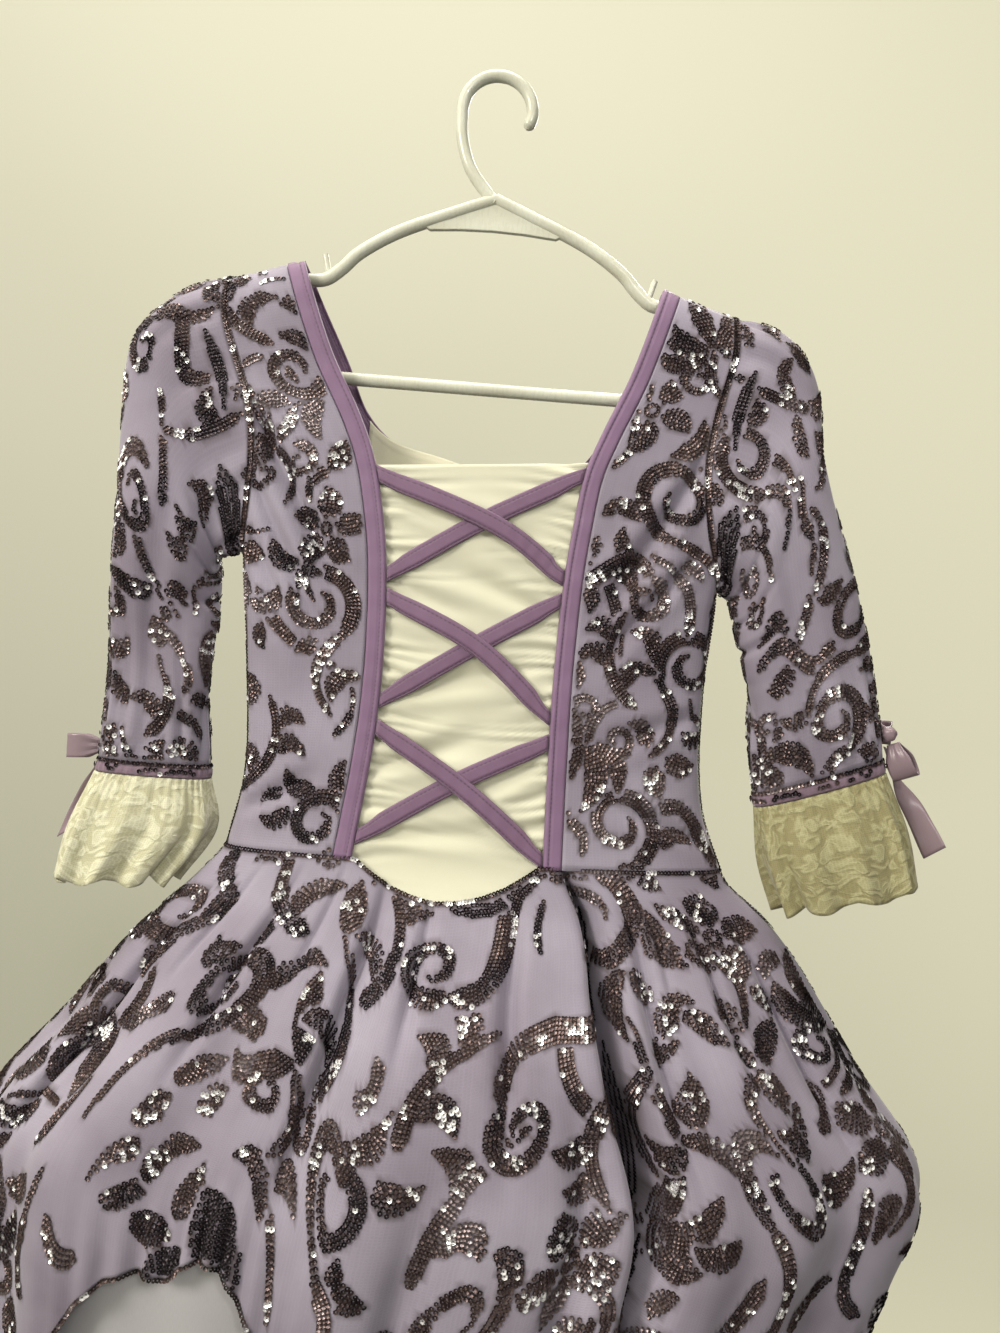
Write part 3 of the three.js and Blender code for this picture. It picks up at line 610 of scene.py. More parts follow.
def object_from(bm: bmesh.types.BMesh, name: str, smooth_faces: bool = True) -> Piece:
    """Makes a bmesh an object in the scene.

    Args:
        bm: the mesh, in metres. It is freed.
        name: the object's name.
        smooth_faces: whether its faces are shaded smooth.

    Returns:
        The new object.
    """
    mesh = bpy.data.meshes.new(name)
    for face in bm.faces:
        face.smooth = smooth_faces
    bm.to_mesh(mesh)
    bm.free()
    return placed(name, mesh)


def placed(name: str, data: bpy.types.ID) -> Piece:
    """A new object in the scene that shows some data."""
    piece = bpy.data.objects.new(name, data)
    bpy.context.scene.collection.objects.link(piece)
    return piece


@dataclass(frozen=True)
class Finish:
    """A material, with the name of the slot that it stands for, which is kept but not used here."""

    material: Material
    slot: str

    def dress(self, piece: Piece, *nodes: str) -> Piece:
        """Gives a piece this finish and its body, and hides the CAD nodes that it stands for.

        Args:
            piece: the piece.
            nodes: the CAD nodes that it replaces, or none.

        Returns:
            The same piece.
        """
        piece.data.materials.clear()
        piece.data.materials.append(self.material)
        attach(piece, BODY)
        if nodes:
            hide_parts(*nodes)
        log.info("%s: %d vertices", piece.name, len(piece.data.vertices))
        return piece


Finishes = dict[str, Finish]


@dataclass(frozen=True)
class Cloth:
    """A piece of cloth: the surface it lies on, its faces across and along, its wall and how it is held."""

    name: str
    surface: Surface
    faces: tuple[int, int]
    wall: float
    held: str
    closed: bool = False
    least_cut: float = 10.0
    samples: int = 60

    def cut_of(self) -> tuple[float, float]:
        """The flat size that the piece would be cut from.

        Returns:
            The mean width across its surface and the mean length along it, with its folds opened out.
        """
        n = self.samples
        t = np.linspace(0, 1, n + 1)
        points = self.surface(np.tile(t, n + 1), np.repeat(t, n + 1)).reshape(n + 1, n + 1, 3)
        across, along = (np.linalg.norm(np.diff(points, axis=axis), axis=2) for axis in (1, 0))
        return float(across.sum(1).mean()), float(along.sum(0).mean())

    def laid(self, cut: tuple[float, float]) -> Piece:
        """A grid laid on the surface and given its wall.

        Args:
            cut: the flat size, which the UV map is drawn to.

        Returns:
            The new piece.
        """
        bm = bmesh.new()
        uv = bm.loops.layers.uv.new("cut")
        bmesh.ops.create_grid(bm, x_segments=self.faces[0], y_segments=self.faces[1], size=0.5)
        flat = np.array([vert.co for vert in bm.verts])
        u, v = flat[:, 0] + 0.5, 0.5 - flat[:, 1]
        for face in bm.faces:
            for loop in face.loops:
                place = loop.vert.co
                loop[uv].uv = ((place.x + 0.5) * cut[0] * MM, (0.5 - place.y) * cut[1] * MM)
        for vert, point in zip(bm.verts, self.surface(u, v) * MM):
            vert.co = point
        if self.closed:
            bmesh.ops.remove_doubles(bm, verts=bm.verts, dist=1e-6)
        piece = object_from(bm, self.name)
        wall = piece.modifiers.new("wall", "SOLIDIFY")
        wall.thickness = self.wall * MM
        wall.offset = 0.0
        return piece

    def sew(self, finish: Finish, node: str, *rests_on: str) -> Piece:
        """Args:
            finish: its finish.
            node: the CAD node that it replaces.
            rests_on: what it rests on, or none; not used.

        Returns:
            The new piece.
        """
        cut = self.cut_of()
        piece = finish.dress(self.laid(cut), node)
        tuple(max(side, self.least_cut) * MM for side in cut)
        return piece


# ---- finishes


WHITE = (1.0, 1.0, 1.0)
BLACK = (0.0, 0.0, 0.0)


class Nodes:
    """Adds and joins nodes. A source is a node, for its first output, a (node, output) pair, a number or a colour."""

    def __init__(self, tree: bpy.types.NodeTree, prefix: str = "ShaderNode") -> None:
        """Works on a tree whose nodes' types start with a prefix."""
        self.tree, self.prefix = tree, prefix

    def add(self, kind: str, **settings: object) -> Node:
        """Adds a node.

        Args:
            kind: its type, without the prefix.
            settings: its properties, then the sources of its inputs, which start with a capital.

        Returns:
            The node.
        """
        node = self.tree.nodes.new(self.prefix + kind)
        for key, value in settings.items():
            if key[0].isupper():
                self.join(value, node, key)
            else:
                setattr(node, key, value)
        return node

    def join(self, source: object, node: Node, into: str | int = 0) -> None:
        """Feeds one of a node's inputs.

        Args:
            source: what feeds it.
            node: the node.
            into: the input.
        """
        socket = node.inputs[into]
        if isinstance(source, Node):
            source = (source, 0)
        if not isinstance(source, tuple):
            socket.default_value = source
        elif isinstance(source[0], Node):
            self.tree.links.new(source[0].outputs[source[1]], socket)
        else:
            socket.default_value = (*source, 1)

    def math(self, operation: str, *sources: object) -> Node:
        """A Math node.

        Args:
            operation: what it works out.
            sources: what feeds its inputs, in order.

        Returns:
            The node.
        """
        node = self.add("Math", operation=operation)
        for into, source in enumerate(sources):
            self.join(source, node, into)
        return node


class Look(Nodes):
    """The nodes of one material."""

    def __init__(self, name: str) -> None:
        """Starts an empty material.

        Args:
            name: the material's name.
        """
        self.material = bpy.data.materials.new(name)
        self.material.use_nodes = True
        super().__init__(self.material.node_tree)
        self.tree.nodes.clear()
        self.shader = self.add("BsdfPrincipled")
        self.join(self.shader, self.add("OutputMaterial"), "Surface")
        self.places = self.add("TexCoord")

    def scaled(self, coords: str, scale: Sequence[float] = (1, 1, 1)) -> Node:
        """Object or UV coordinates, scaled by a Mapping node."""
        return self.add("Mapping", Vector=(self.places, coords), Scale=list(scale))

    def noise(self, where: Node, scale: float, detail: float = 3.0) -> Node:
        """Noise over some coordinates."""
        return self.add("TexNoise", Vector=where, Scale=scale, Detail=detail)

    def cells(self, where: Node, scale: float, randomness: float = 1.0) -> Node:
        """How far places are from the walls of a net of cells."""
        kind = "DISTANCE_TO_EDGE"
        return self.add("TexVoronoi", feature=kind, Vector=where, Scale=scale, Randomness=randomness)

    def ramp(self, source: object, *stops: tuple[float, Rgb]) -> Node:
        """A colour ramp over a value.

        Args:
            source: what gives the value.
            stops: each stop's place and colour.

        Returns:
            The ramp.
        """
        node = self.add("ValToRGB", Fac=source)
        elements = node.color_ramp.elements
        while len(elements) < len(stops):
            elements.new(0.5)
        for element, (place, colour) in zip(elements, stops):
            element.position = place
            element.color = (*colour, 1)
        return node

    def blend(self, factor: object, a: object, b: object, mode: str = "MIX") -> tuple[Node, int]:
        """A mix of two colours.

        Args:
            factor: how much of the second counts.
            a: the first colour.
            b: the second colour.
            mode: how they are mixed.

        Returns:
            The mix, as a source.
        """
        node = self.add("Mix", data_type="RGBA", blend_type=mode)
        for into, source in ((0, factor), (6, a), (7, b)):
            self.join(source, node, into)
        return node, 2

    def bump(self, height: object, strength: float, distance: float) -> None:
        """Adds a bump after any bump already there.

        Args:
            height: what gives the height.
            strength: how strong the bump is.
            distance: its depth in millimetres.
        """
        node = self.add("Bump", Strength=strength, Distance=distance * MM, Height=height)
        for link in self.shader.inputs["Normal"].links:
            self.join(link.from_node, node, "Normal")
        self.join(node, self.shader, "Normal")

    def rough(self, source: Node, spread: float, roughness: float) -> None:
        """Lets the roughness wander by a spread about its mean."""
        self.join(self.math("MULTIPLY_ADD", source, spread, roughness - spread / 2), self.shader, "Roughness")

    def colour(self, source: object) -> None:
        """Joins a colour to the shader's base."""
        self.join(source, self.shader, "Base Color")

    def set(self, **values: float) -> None:
        """Sets constants on the shader's own sockets, with _ for a space."""
        for key, value in values.items():
            self.shader.inputs[key.replace("_", " ")].default_value = value


class Weave(Enum):
    """The structure that a cloth's threads make."""

    NET = "net"
    KNIT = "knit"
    SATIN = "satin"
    RIB = "rib"
    PLAIN = "plain"


@dataclass(frozen=True)
class Fabric:
    """A cloth's finish: its colours, its weave and its threads' pitch, how it takes the light, the depth of its
    threads' shade, the colour painted under sewn-on sequins for their stitching and the shade they cast, and how far
    from its edge each row of stitches runs."""

    name: str
    light: Rgb
    dark: Rgb
    weave: Weave
    pitch: float
    roughness: float = 0.75
    sheen: float = 0.25
    relief: float = 0.12
    patchy: float = 0.5
    anisotropic: float = 0.0
    depth: float = 0.85
    sewn: Rgb | None = None
    seams: tuple[float, ...] = ()
    stitch: float = 2.6
    groove: float = 0.8

    def threads(self, look: Look) -> Node:
        """Adds the nodes of the weave.

        Args:
            look: the material's nodes.

        Returns:
            A node that gives the height of the threads, from 0 to 1.
        """
        per_metre = 1000 / self.pitch
        where = look.scaled("UV")
        if self.weave is Weave.NET:
            return look.math("SUBTRACT", 1.0, look.math("MULTIPLY", look.cells(where, per_metre, 0.35), 4.0))
        if self.weave is Weave.SATIN:
            return look.noise(look.scaled("UV", (per_metre, per_metre / 9, 1)), 1.0, 2.0)
        split = look.add("SeparateXYZ", Vector=where)
        warp, weft = (look.math("MULTIPLY", (split, axis), per_metre * 2 * math.pi) for axis in "XY")
        if self.weave is Weave.PLAIN:
            crossed = look.math("MULTIPLY", look.math("SINE", warp), look.math("SINE", weft))
            return look.math("ABSOLUTE", crossed)
        ribs = look.math("ABSOLUTE", look.math("SINE", warp))
        if self.weave is Weave.RIB:
            return ribs
        leaned = look.math("ADD", weft, look.math("MULTIPLY", ribs, 2.2))
        loops = look.math("ABSOLUTE", look.math("SINE", leaned))
        return look.math("MULTIPLY", loops, look.math("ADD", ribs, 0.3))

    def seam(self, look: Look, colour: object, seam_at: float) -> tuple[Node, int]:
        """Adds a row of stitches and its shadow along the tape.

        Args:
            look: the material's nodes.
            colour: the colour so far.
            seam_at: how far the row is from the tape's edge, in millimetres.

        Returns:
            The colour with the stitches.
        """
        split = look.add("SeparateXYZ", Vector=(look.places, "UV"))
        off = look.math("ABSOLUTE", look.math("SUBTRACT", (split, "X"), seam_at * MM))
        line = look.math("SUBTRACT", 1.0, look.math("MULTIPLY", off, 1 / (self.groove * MM)))
        line.use_clamp = True
        dash = look.math("SINE", look.math("MULTIPLY", (split, "Y"), 2 * math.pi / (self.stitch * MM)))
        shade = look.math("MULTIPLY", line, look.math("MULTIPLY_ADD", dash, 0.25, 0.65))
        look.bump(look.math("SUBTRACT", 1.0, shade), 0.6, 0.35)
        return look.blend(shade, colour, tuple(c * 0.35 for c in self.dark))

    def make(self) -> Material:
        """Makes the material.

        Returns:
            The material.
        """
        look = Look(self.name)
        height = self.threads(look)
        wide = look.noise(look.scaled("Object"), 14.0, 4.0)
        tone = look.math("MULTIPLY_ADD", wide, self.patchy, (1 - self.patchy) / 2)
        worn = look.ramp(tone, (0.25, self.dark), (0.75, self.light))
        threads = look.ramp(height, (0.0, (self.depth,) * 3), (1.0, WHITE))
        colour = look.blend(1.0, worn, threads, "MULTIPLY")
        for seam_at in self.seams:
            colour = self.seam(look, colour, seam_at)
        if self.sewn:
            streaks = look.noise(look.scaled("UV", (900, 14, 1)), 1.0, 2.0)
            drawn = look.ramp(streaks, (0.3, (0.96,) * 3), (0.7, (1.01,) * 3))
            colour = look.blend(1.0, colour, drawn, "MULTIPLY")
            # Darkens the cloth near each sequin: partly the dark stitching, partly painted shade under the sequins.
            near = look.add("Attribute", attribute_name="sewn")
            colour = look.blend((near, "Fac"), colour, self.sewn)
        look.colour(colour)
        look.bump(height, 0.5, self.relief)
        fluff = look.noise(look.scaled("Object"), 90.0)
        look.bump(fluff, 0.25, 0.6)
        look.rough(fluff, 0.12, self.roughness)
        look.set(Sheen_Weight=self.sheen, Sheen_Roughness=0.4, Anisotropic=self.anisotropic)
        return look.material


@dataclass(frozen=True)
class Lace:
    """The finish of the lace: a fine net with dense, softly raised leaves and flowers, each with a cord round it."""

    name: str = "lace"
    net: Rgb = (0.56, 0.545, 0.38)
    solid: Rgb = (0.65, 0.64, 0.475)
    cord: Rgb = (0.77, 0.765, 0.6)
    motif: float = 6.5
    sway: float = 14.0
    roughness: float = 0.75

    def make(self) -> Material:
        """Makes the material.

        Returns:
            The material.
        """
        look = Look(self.name)
        where = look.scaled("UV")
        moved = look.add("VectorMath", operation="MULTIPLY_ADD")
        sway = self.sway * MM
        for into, source in enumerate(((look.noise(where, 90.0, 1.0), "Color"), [sway, sway, 0], where)):
            look.join(source, moved, into)
        per_metre = 1000 / self.motif
        petals = look.math("MULTIPLY", look.cells(moved, per_metre), 2.2)
        vein = look.math("MULTIPLY", look.math("SMOOTH_MIN", petals, 0.5, 0.1), 0.3)
        body = look.math("MULTIPLY_ADD", look.noise(moved, per_metre, 1.5), 1.0, vein)
        solid = look.ramp(body, (0.5, self.net), (0.58, self.solid), (0.66, self.cord), (0.76, self.solid))
        mesh = look.cells(where, 900.0, 0.4)
        holes = look.ramp(mesh, (0.0, WHITE), (0.3, (0.8, 0.78, 0.72)))
        look.colour(look.blend(1.0, solid, holes, "MULTIPLY"))
        look.bump(look.ramp(body, (0.48, BLACK), (0.66, WHITE), (0.8, (0.6,) * 3)), 0.7, 0.4)
        look.bump(mesh, 0.3, -0.12)
        look.set(Roughness=self.roughness, Sheen_Weight=0.3, Sheen_Roughness=0.4)
        return look.material


@dataclass(frozen=True)
class Foil:
    """The finish of the sequins: dark plum foil, bronze in places, and here and there one coloured near-white as a
    painted glint.
    """

    name: str = "sequin_foil"
    plum: Rgb = (0.014, 0.009, 0.013)
    bronze: Rgb = (0.085, 0.055, 0.052)
    pewter: Rgb = (0.22, 0.18, 0.19)
    bright: Rgb = (0.93, 0.92, 0.95)
    roughness: float = 0.3

    def make(self) -> Material:
        """Makes the material.

        Returns:
            The material.
        """
        look = Look(self.name)
        cast = (look.add("Attribute", attribute_name="cast"), "Fac")
        look.colour(look.ramp(cast, (0.1, self.plum), (0.45, self.bronze), (0.72, self.pewter), (0.95, self.bright)))
        look.rough(look.noise(look.scaled("Object"), 1500.0, 2.0), 0.16, self.roughness)
        look.set(Metallic=0.7)
        return look.material


@dataclass(frozen=True)
class Moulded:
    """The finish of a moulded plastic: glossy, with faint flow marks and handling scuffs."""

    name: str = "hanger_plastic"
    clean: Rgb = (0.67, 0.68, 0.58)
    dusty: Rgb = (0.56, 0.55, 0.44)
    roughness: float = 0.28

    def make(self) -> Material:
        """Makes the material.

        Returns:
            The material.
        """
        look = Look(self.name)
        flow = look.noise(look.scaled("Object", (1, 1, 3)), 22.0, 4.0)
        look.colour(look.ramp(flow, (0.3, self.dusty), (0.62, self.clean)))
        scuff = look.noise(look.scaled("Object", (4, 4, 1)), 160.0)
        look.rough(scuff, 0.2, self.roughness)
        look.bump(scuff, 0.12, 0.15)
        look.set(IOR=1.47, Coat_Weight=0.15, Coat_Roughness=0.12)
        return look.material


LAVENDER_NET = Fabric(
    "sequinned_net", (0.382, 0.348, 0.44), (0.213, 0.178, 0.235), Weave.NET, 1.5, 0.8, 0.3, 0.06, 1.0, depth=0.93,
    sewn=(0.07, 0.05, 0.053),
)
CUFF_NET = replace(LAVENDER_NET, name="cuff_net", light=(0.33, 0.24, 0.32), dark=(0.2, 0.13, 0.18))
BINDING_TAPE = Fabric(
    "binding", (0.265, 0.158, 0.285), (0.195, 0.11, 0.2), Weave.RIB, 0.9, 0.6, 0.2, 0.08, seams=(3.3,)
)
STRAP_TAPE = replace(BINDING_TAPE, name="strap", light=(0.235, 0.135, 0.24), dark=(0.165, 0.09, 0.16), seams=(1.4, 8.6))
CREAM_KNIT = Fabric("cream_knit", (0.78, 0.77, 0.625), (0.66, 0.645, 0.49), Weave.KNIT, 1.1, 0.55, 0.25, 0.05, 0.35)
# The lining's cream is set lighter than the knit's: partly its own colour, partly painted light for the shade inside
# the back of the neck.
CREAM_LINING = Fabric("lining", (0.95, 0.92, 0.74), (0.86, 0.82, 0.62), Weave.PLAIN, 0.8, 0.7, 0.2, 0.06)
MAUVE_SATIN = Fabric(
    "satin_ribbon", (0.33, 0.235, 0.28), (0.2, 0.145, 0.17), Weave.SATIN, 0.3, 0.32, 0.1, 0.03, 0.4, 0.5
)
PALE_SATIN = Fabric("underskirt", (0.59, 0.58, 0.61), (0.5, 0.49, 0.52), Weave.SATIN, 0.4, 0.45, 0.15, 0.03)
# A darker copy of the lace: painted shade, for the frill on the wearer's left.
LACE_IN_PAINTED_SHADE = Lace("lace_shaded", (0.31, 0.28, 0.145), (0.37, 0.345, 0.19), (0.47, 0.45, 0.27))


# ---- embroidery in sequins


class Taper(Enum):
    """How a band of sequins changes width along its line."""

    EVEN = "even"
    PLUME = "plume"
    CURL = "curl"

    def width(self, t: Array) -> Array:
        """The share of the full width at each place along the band.

        Args:
            t: the places, from 0 to 1.

        Returns:
            One share for each place.
        """
        if self is Taper.PLUME:
            return np.sin(math.pi * np.clip(t, 0.02, 0.98) ** 0.85) ** 0.7
        rounded = np.sqrt(np.clip(np.minimum(t, 1 - t) * 9 + 0.12, 0, 1))
        return rounded * (1 - 0.5 * t) if self is Taper.CURL else rounded


@dataclass(frozen=True)
class Stroke:
    """One band of sequins: the line it follows, how many rows wide it is and how it tapers."""

    line: Array
    rows: float
    taper: Taper = Taper.PLUME


Motif = tuple[Stroke, ...]


def curl(size: float, turns: float, start: float, mirror: int = 1, at: Sequence[float] = (0, 0)) -> Array:
    """A curl that winds in to its eye.

    Args:
        size: its outer radius.
        turns: how many times it winds round.
        start: the angle where it starts, in degrees.
        mirror: 1 or -1 for the way that it winds.
        at: its middle.

    Returns:
        Points along it, from the outside in.
    """
    t = np.linspace(0, 1, 60)
    angle = math.radians(start) + mirror * t * turns * 2 * math.pi
    radius = size * (1 - 0.72 * t**0.9)
    return np.stack([radius * np.cos(angle), radius * np.sin(angle)], axis=1) + at


def bowed(length: float, bend: float, angle: float = 0.0, start: Sequence[float] = (0, 0)) -> Array:
    """A line that bows to one side.

    Args:
        length: its length.
        bend: how far its middle stands off.
        angle: the way it goes, in degrees.
        start: where it starts.

    Returns:
        Points along it.
    """
    t = np.linspace(0, 1, 40)
    x, y = t * length, bend * 4 * t * (1 - t)
    c, s = polar(1, angle)
    return np.stack([start[0] + c * x - s * y, start[1] + s * x + c * y], axis=1)


# The motifs, each drawn for a size of 1. A big curl on a stem, with plumes springing from its back.
SCROLL: Motif = (
    Stroke(curl(0.4, 1.3, -70), 4.6, Taper.CURL),
    Stroke(bowed(0.75, -0.2, -112, (0.13, -0.38)), 3.4, Taper.CURL),
    *(
        Stroke(bowed(long, 0.11, angle + 44, polar(0.42, angle)), 5.0)
        for angle, long in ((-28, 0.4), (30, 0.44), (88, 0.42), (140, 0.34))
    ),
)

# Five fat plumes fanned from one point, with a curl at each side of the stalk.
PALMETTE: Motif = (
    *(
        Stroke(bowed(long, bend, angle, polar(0.06, angle)), 5.6)
        for angle, long, bend in (
            (90, 0.6, 0.02), (54, 0.58, -0.12), (126, 0.58, 0.12), (16, 0.48, -0.12), (164, 0.48, 0.12)
        )
    ),
    *(Stroke(curl(0.17, 1.0, 90, sign, (-0.2 * sign, -0.22)), 3.0, Taper.CURL) for sign in (1, -1)),
    Stroke(bowed(0.56, 0.12, -95), 3.4, Taper.CURL),
)

# A long leaf on a bent spine, its lobes curling forward and shortening to the tip.
SPINE = bowed(1.2, 0.26, 80, (0, -0.6))
ACANTHUS: Motif = (
    Stroke(SPINE, 3.6, Taper.CURL),
    *(
        Stroke(bowed(0.5 - 0.08 * k, sign * (0.5 - 0.08 * k) * 0.34, angle, SPINE[7 + 11 * k]), 4.8)
        for k in range(3)
        for sign, angle in ((1, 14 + 8 * k), (-1, 152 - 6 * k))
    ),
)

# An S-scroll: two curls that wind opposite ways on one wave, with a plume in each hollow.
SWING = np.linspace(-1, 1, 70)
WAVE_CURL = curl(0.25, 1.15, 90, -1, (0.5, -0.21))
WAVE: Motif = (
    Stroke(np.stack([SWING * 0.5, 0.2 * np.sin(SWING * math.pi * 0.9)], axis=1), 4.2, Taper.EVEN),
    Stroke(WAVE_CURL, 3.8, Taper.CURL),
    Stroke(-WAVE_CURL, 3.8, Taper.CURL),
    *(
        stroke
        for sign in (1, -1)
        for stroke in (
            Stroke(bowed(0.42, 0.12, 90 + sign * 62) * sign, 4.8),
            Stroke(bowed(0.36, 0.1, 130, (0.3, 0.2)) * sign, 4.4),
        )
    ),
)

# A flower spray: a round eye, five broad petals and a bent stalk with a leaf.
FLOWER: Motif = (
    Stroke(np.stack([f(np.linspace(0, 2 * math.pi, 30)) * 0.07 for f in (np.cos, np.sin)], axis=1), 1.4, Taper.EVEN),
    *(Stroke(bowed(0.36, 0.05, 72 * k + 18, polar(0.15, 72 * k + 18)), 6.4) for k in range(5)),
    Stroke(bowed(0.75, 0.2, -78, (0, -0.2)), 3.0, Taper.CURL),
    Stroke(bowed(0.36, 0.1, -30, (0.1, -0.6)), 4.2),
)

# A small sprig that fills a gap, three buds on a stalk, and a single fat plume that hooks over at its end.
SPRIG: Motif = (
    Stroke(bowed(1.0, 0.16, 80, (0, -0.55)), 2.0, Taper.CURL),
    *(Stroke(bowed(0.5, 0.1, angle, (0, -0.12 + k * 0.2)), 4.0) for k, angle in enumerate((28, 146, 84))),
)
COMMA: Motif = (Stroke(bowed(1.0, 0.3, 60, (0, -0.5)), 4.6),)

MOTIFS = (
    (SCROLL, 56.0), (PALMETTE, 54.0), (ACANTHUS, 46.0), (WAVE, 54.0), (FLOWER, 44.0), (SCROLL, 48.0), (ACANTHUS, 40.0)
)
FILLERS = (
    (PALMETTE, 34.0), (ACANTHUS, 30.0), (SPRIG, 26.0), (COMMA, 24.0), (SPRIG, 19.0), (COMMA, 17.0), (COMMA, 13.0)
)
OFF_PANEL = 9.0


class Lattice:
    """A surface sampled once on a grid, so that places on it are looked up and not worked out again."""

    def __init__(self, surface: Surface, steps: tuple[int, int], outward: int) -> None:
        """Samples the surface.

        Args:
            surface: gives points for places across and along.
            steps: how many steps across and along.
            outward: the sign that turns the surface's own normals outwards.
        """
        self.across, self.along = steps
        self.u, self.v = np.linspace(0, 1, self.across + 1), np.linspace(0, 1, self.along + 1)
        flat = surface(np.tile(self.u, self.along + 1), np.repeat(self.v, self.across + 1))
        self.points = flat.reshape(self.along + 1, self.across + 1, 3)
        d_u, d_v = np.gradient(self.points, axis=1), np.gradient(self.points, axis=0)
        self.normals = unit(np.cross(d_u, d_v)) * outward
        self.per_u = self.softened(np.linalg.norm(d_u, axis=2) * self.across)
        self.per_v = self.softened(np.linalg.norm(d_v, axis=2) * self.along)
        plain = np.stack([self.softened(self.points[:, :, k], 40) for k in range(3)], axis=2)
        self.round, self.down = np.zeros(plain.shape[:2]), np.zeros(plain.shape[:2])
        self.round[:, 1:] = np.cumsum(np.linalg.norm(np.diff(plain, axis=1), axis=2), axis=1)
        self.down[1:] = np.cumsum(np.linalg.norm(np.diff(plain, axis=0), axis=2), axis=0)

    @staticmethod
    def softened(grid: Array, times: int = 12) -> Array:
        """A grid averaged with its neighbours, so that one fold doesn't stretch a motif.

        Args:
            grid: the values.
            times: how often they are averaged.

        Returns:
            The softened values.
        """
        for _ in range(times):
            padded = np.pad(grid, 1, mode="edge")
            grid = (padded[:-2, 1:-1] + padded[2:, 1:-1] + padded[1:-1, :-2] + padded[1:-1, 2:] + 2 * grid) / 6
        return grid

    def step(self, at: tuple[float, float], off: Array, wraps: bool) -> Array:
        """Places at distances across and up from one place, measured on the cloth.

        Args:
            at: the place, across and along.
            off: the distances across and up, in millimetres.
            wraps: whether the panel closes on itself across.

        Returns:
            The places, with OFF_PANEL where one is off the panel.
        """
        start = at[0] % 1 if wraps else min(max(at[0], 0.0), 1.0)
        line = self.down[:, round(start * self.across)]
        low = np.interp(at[1], self.v, line) - off[:, 1]
        v = np.where((low < 0) | (low > line[-1]), OFF_PANEL, np.interp(low, line, self.v))
        u = np.full(len(off), OFF_PANEL)
        rows = np.round(np.clip(v, 0, 1) * self.along).astype(int)
        for row in np.unique(rows[v <= 1]):
            here = (rows == row) & (v <= 1)
            line = self.round[row]
            far = np.interp(start, self.u, line) + off[here, 0]
            if wraps:
                far = far % line[-1]
            u[here] = np.where((far < 0) | (far > line[-1]), OFF_PANEL, np.interp(far, line, self.u))
        return np.stack([u, v], axis=1)

    def look(self, grid: Array, u: Array, v: Array) -> Array:
        """A grid's values at places between its points.

        Args:
            grid: the values on the lattice.
            u: places across.
            v: places along.

        Returns:
            One value for each place.
        """
        x, y = np.clip(u, 0, 1) * self.across, np.clip(v, 0, 1) * self.along
        i, j = np.minimum(x.astype(int), self.across - 1), np.minimum(y.astype(int), self.along - 1)
        s, t = x - i, y - j
        if grid.ndim == 3:
            s, t = s[:, None], t[:, None]
        upper = mix(grid[j, i], grid[j, i + 1], s)
        lower = mix(grid[j + 1, i], grid[j + 1, i + 1], s)
        return mix(upper, lower, t)


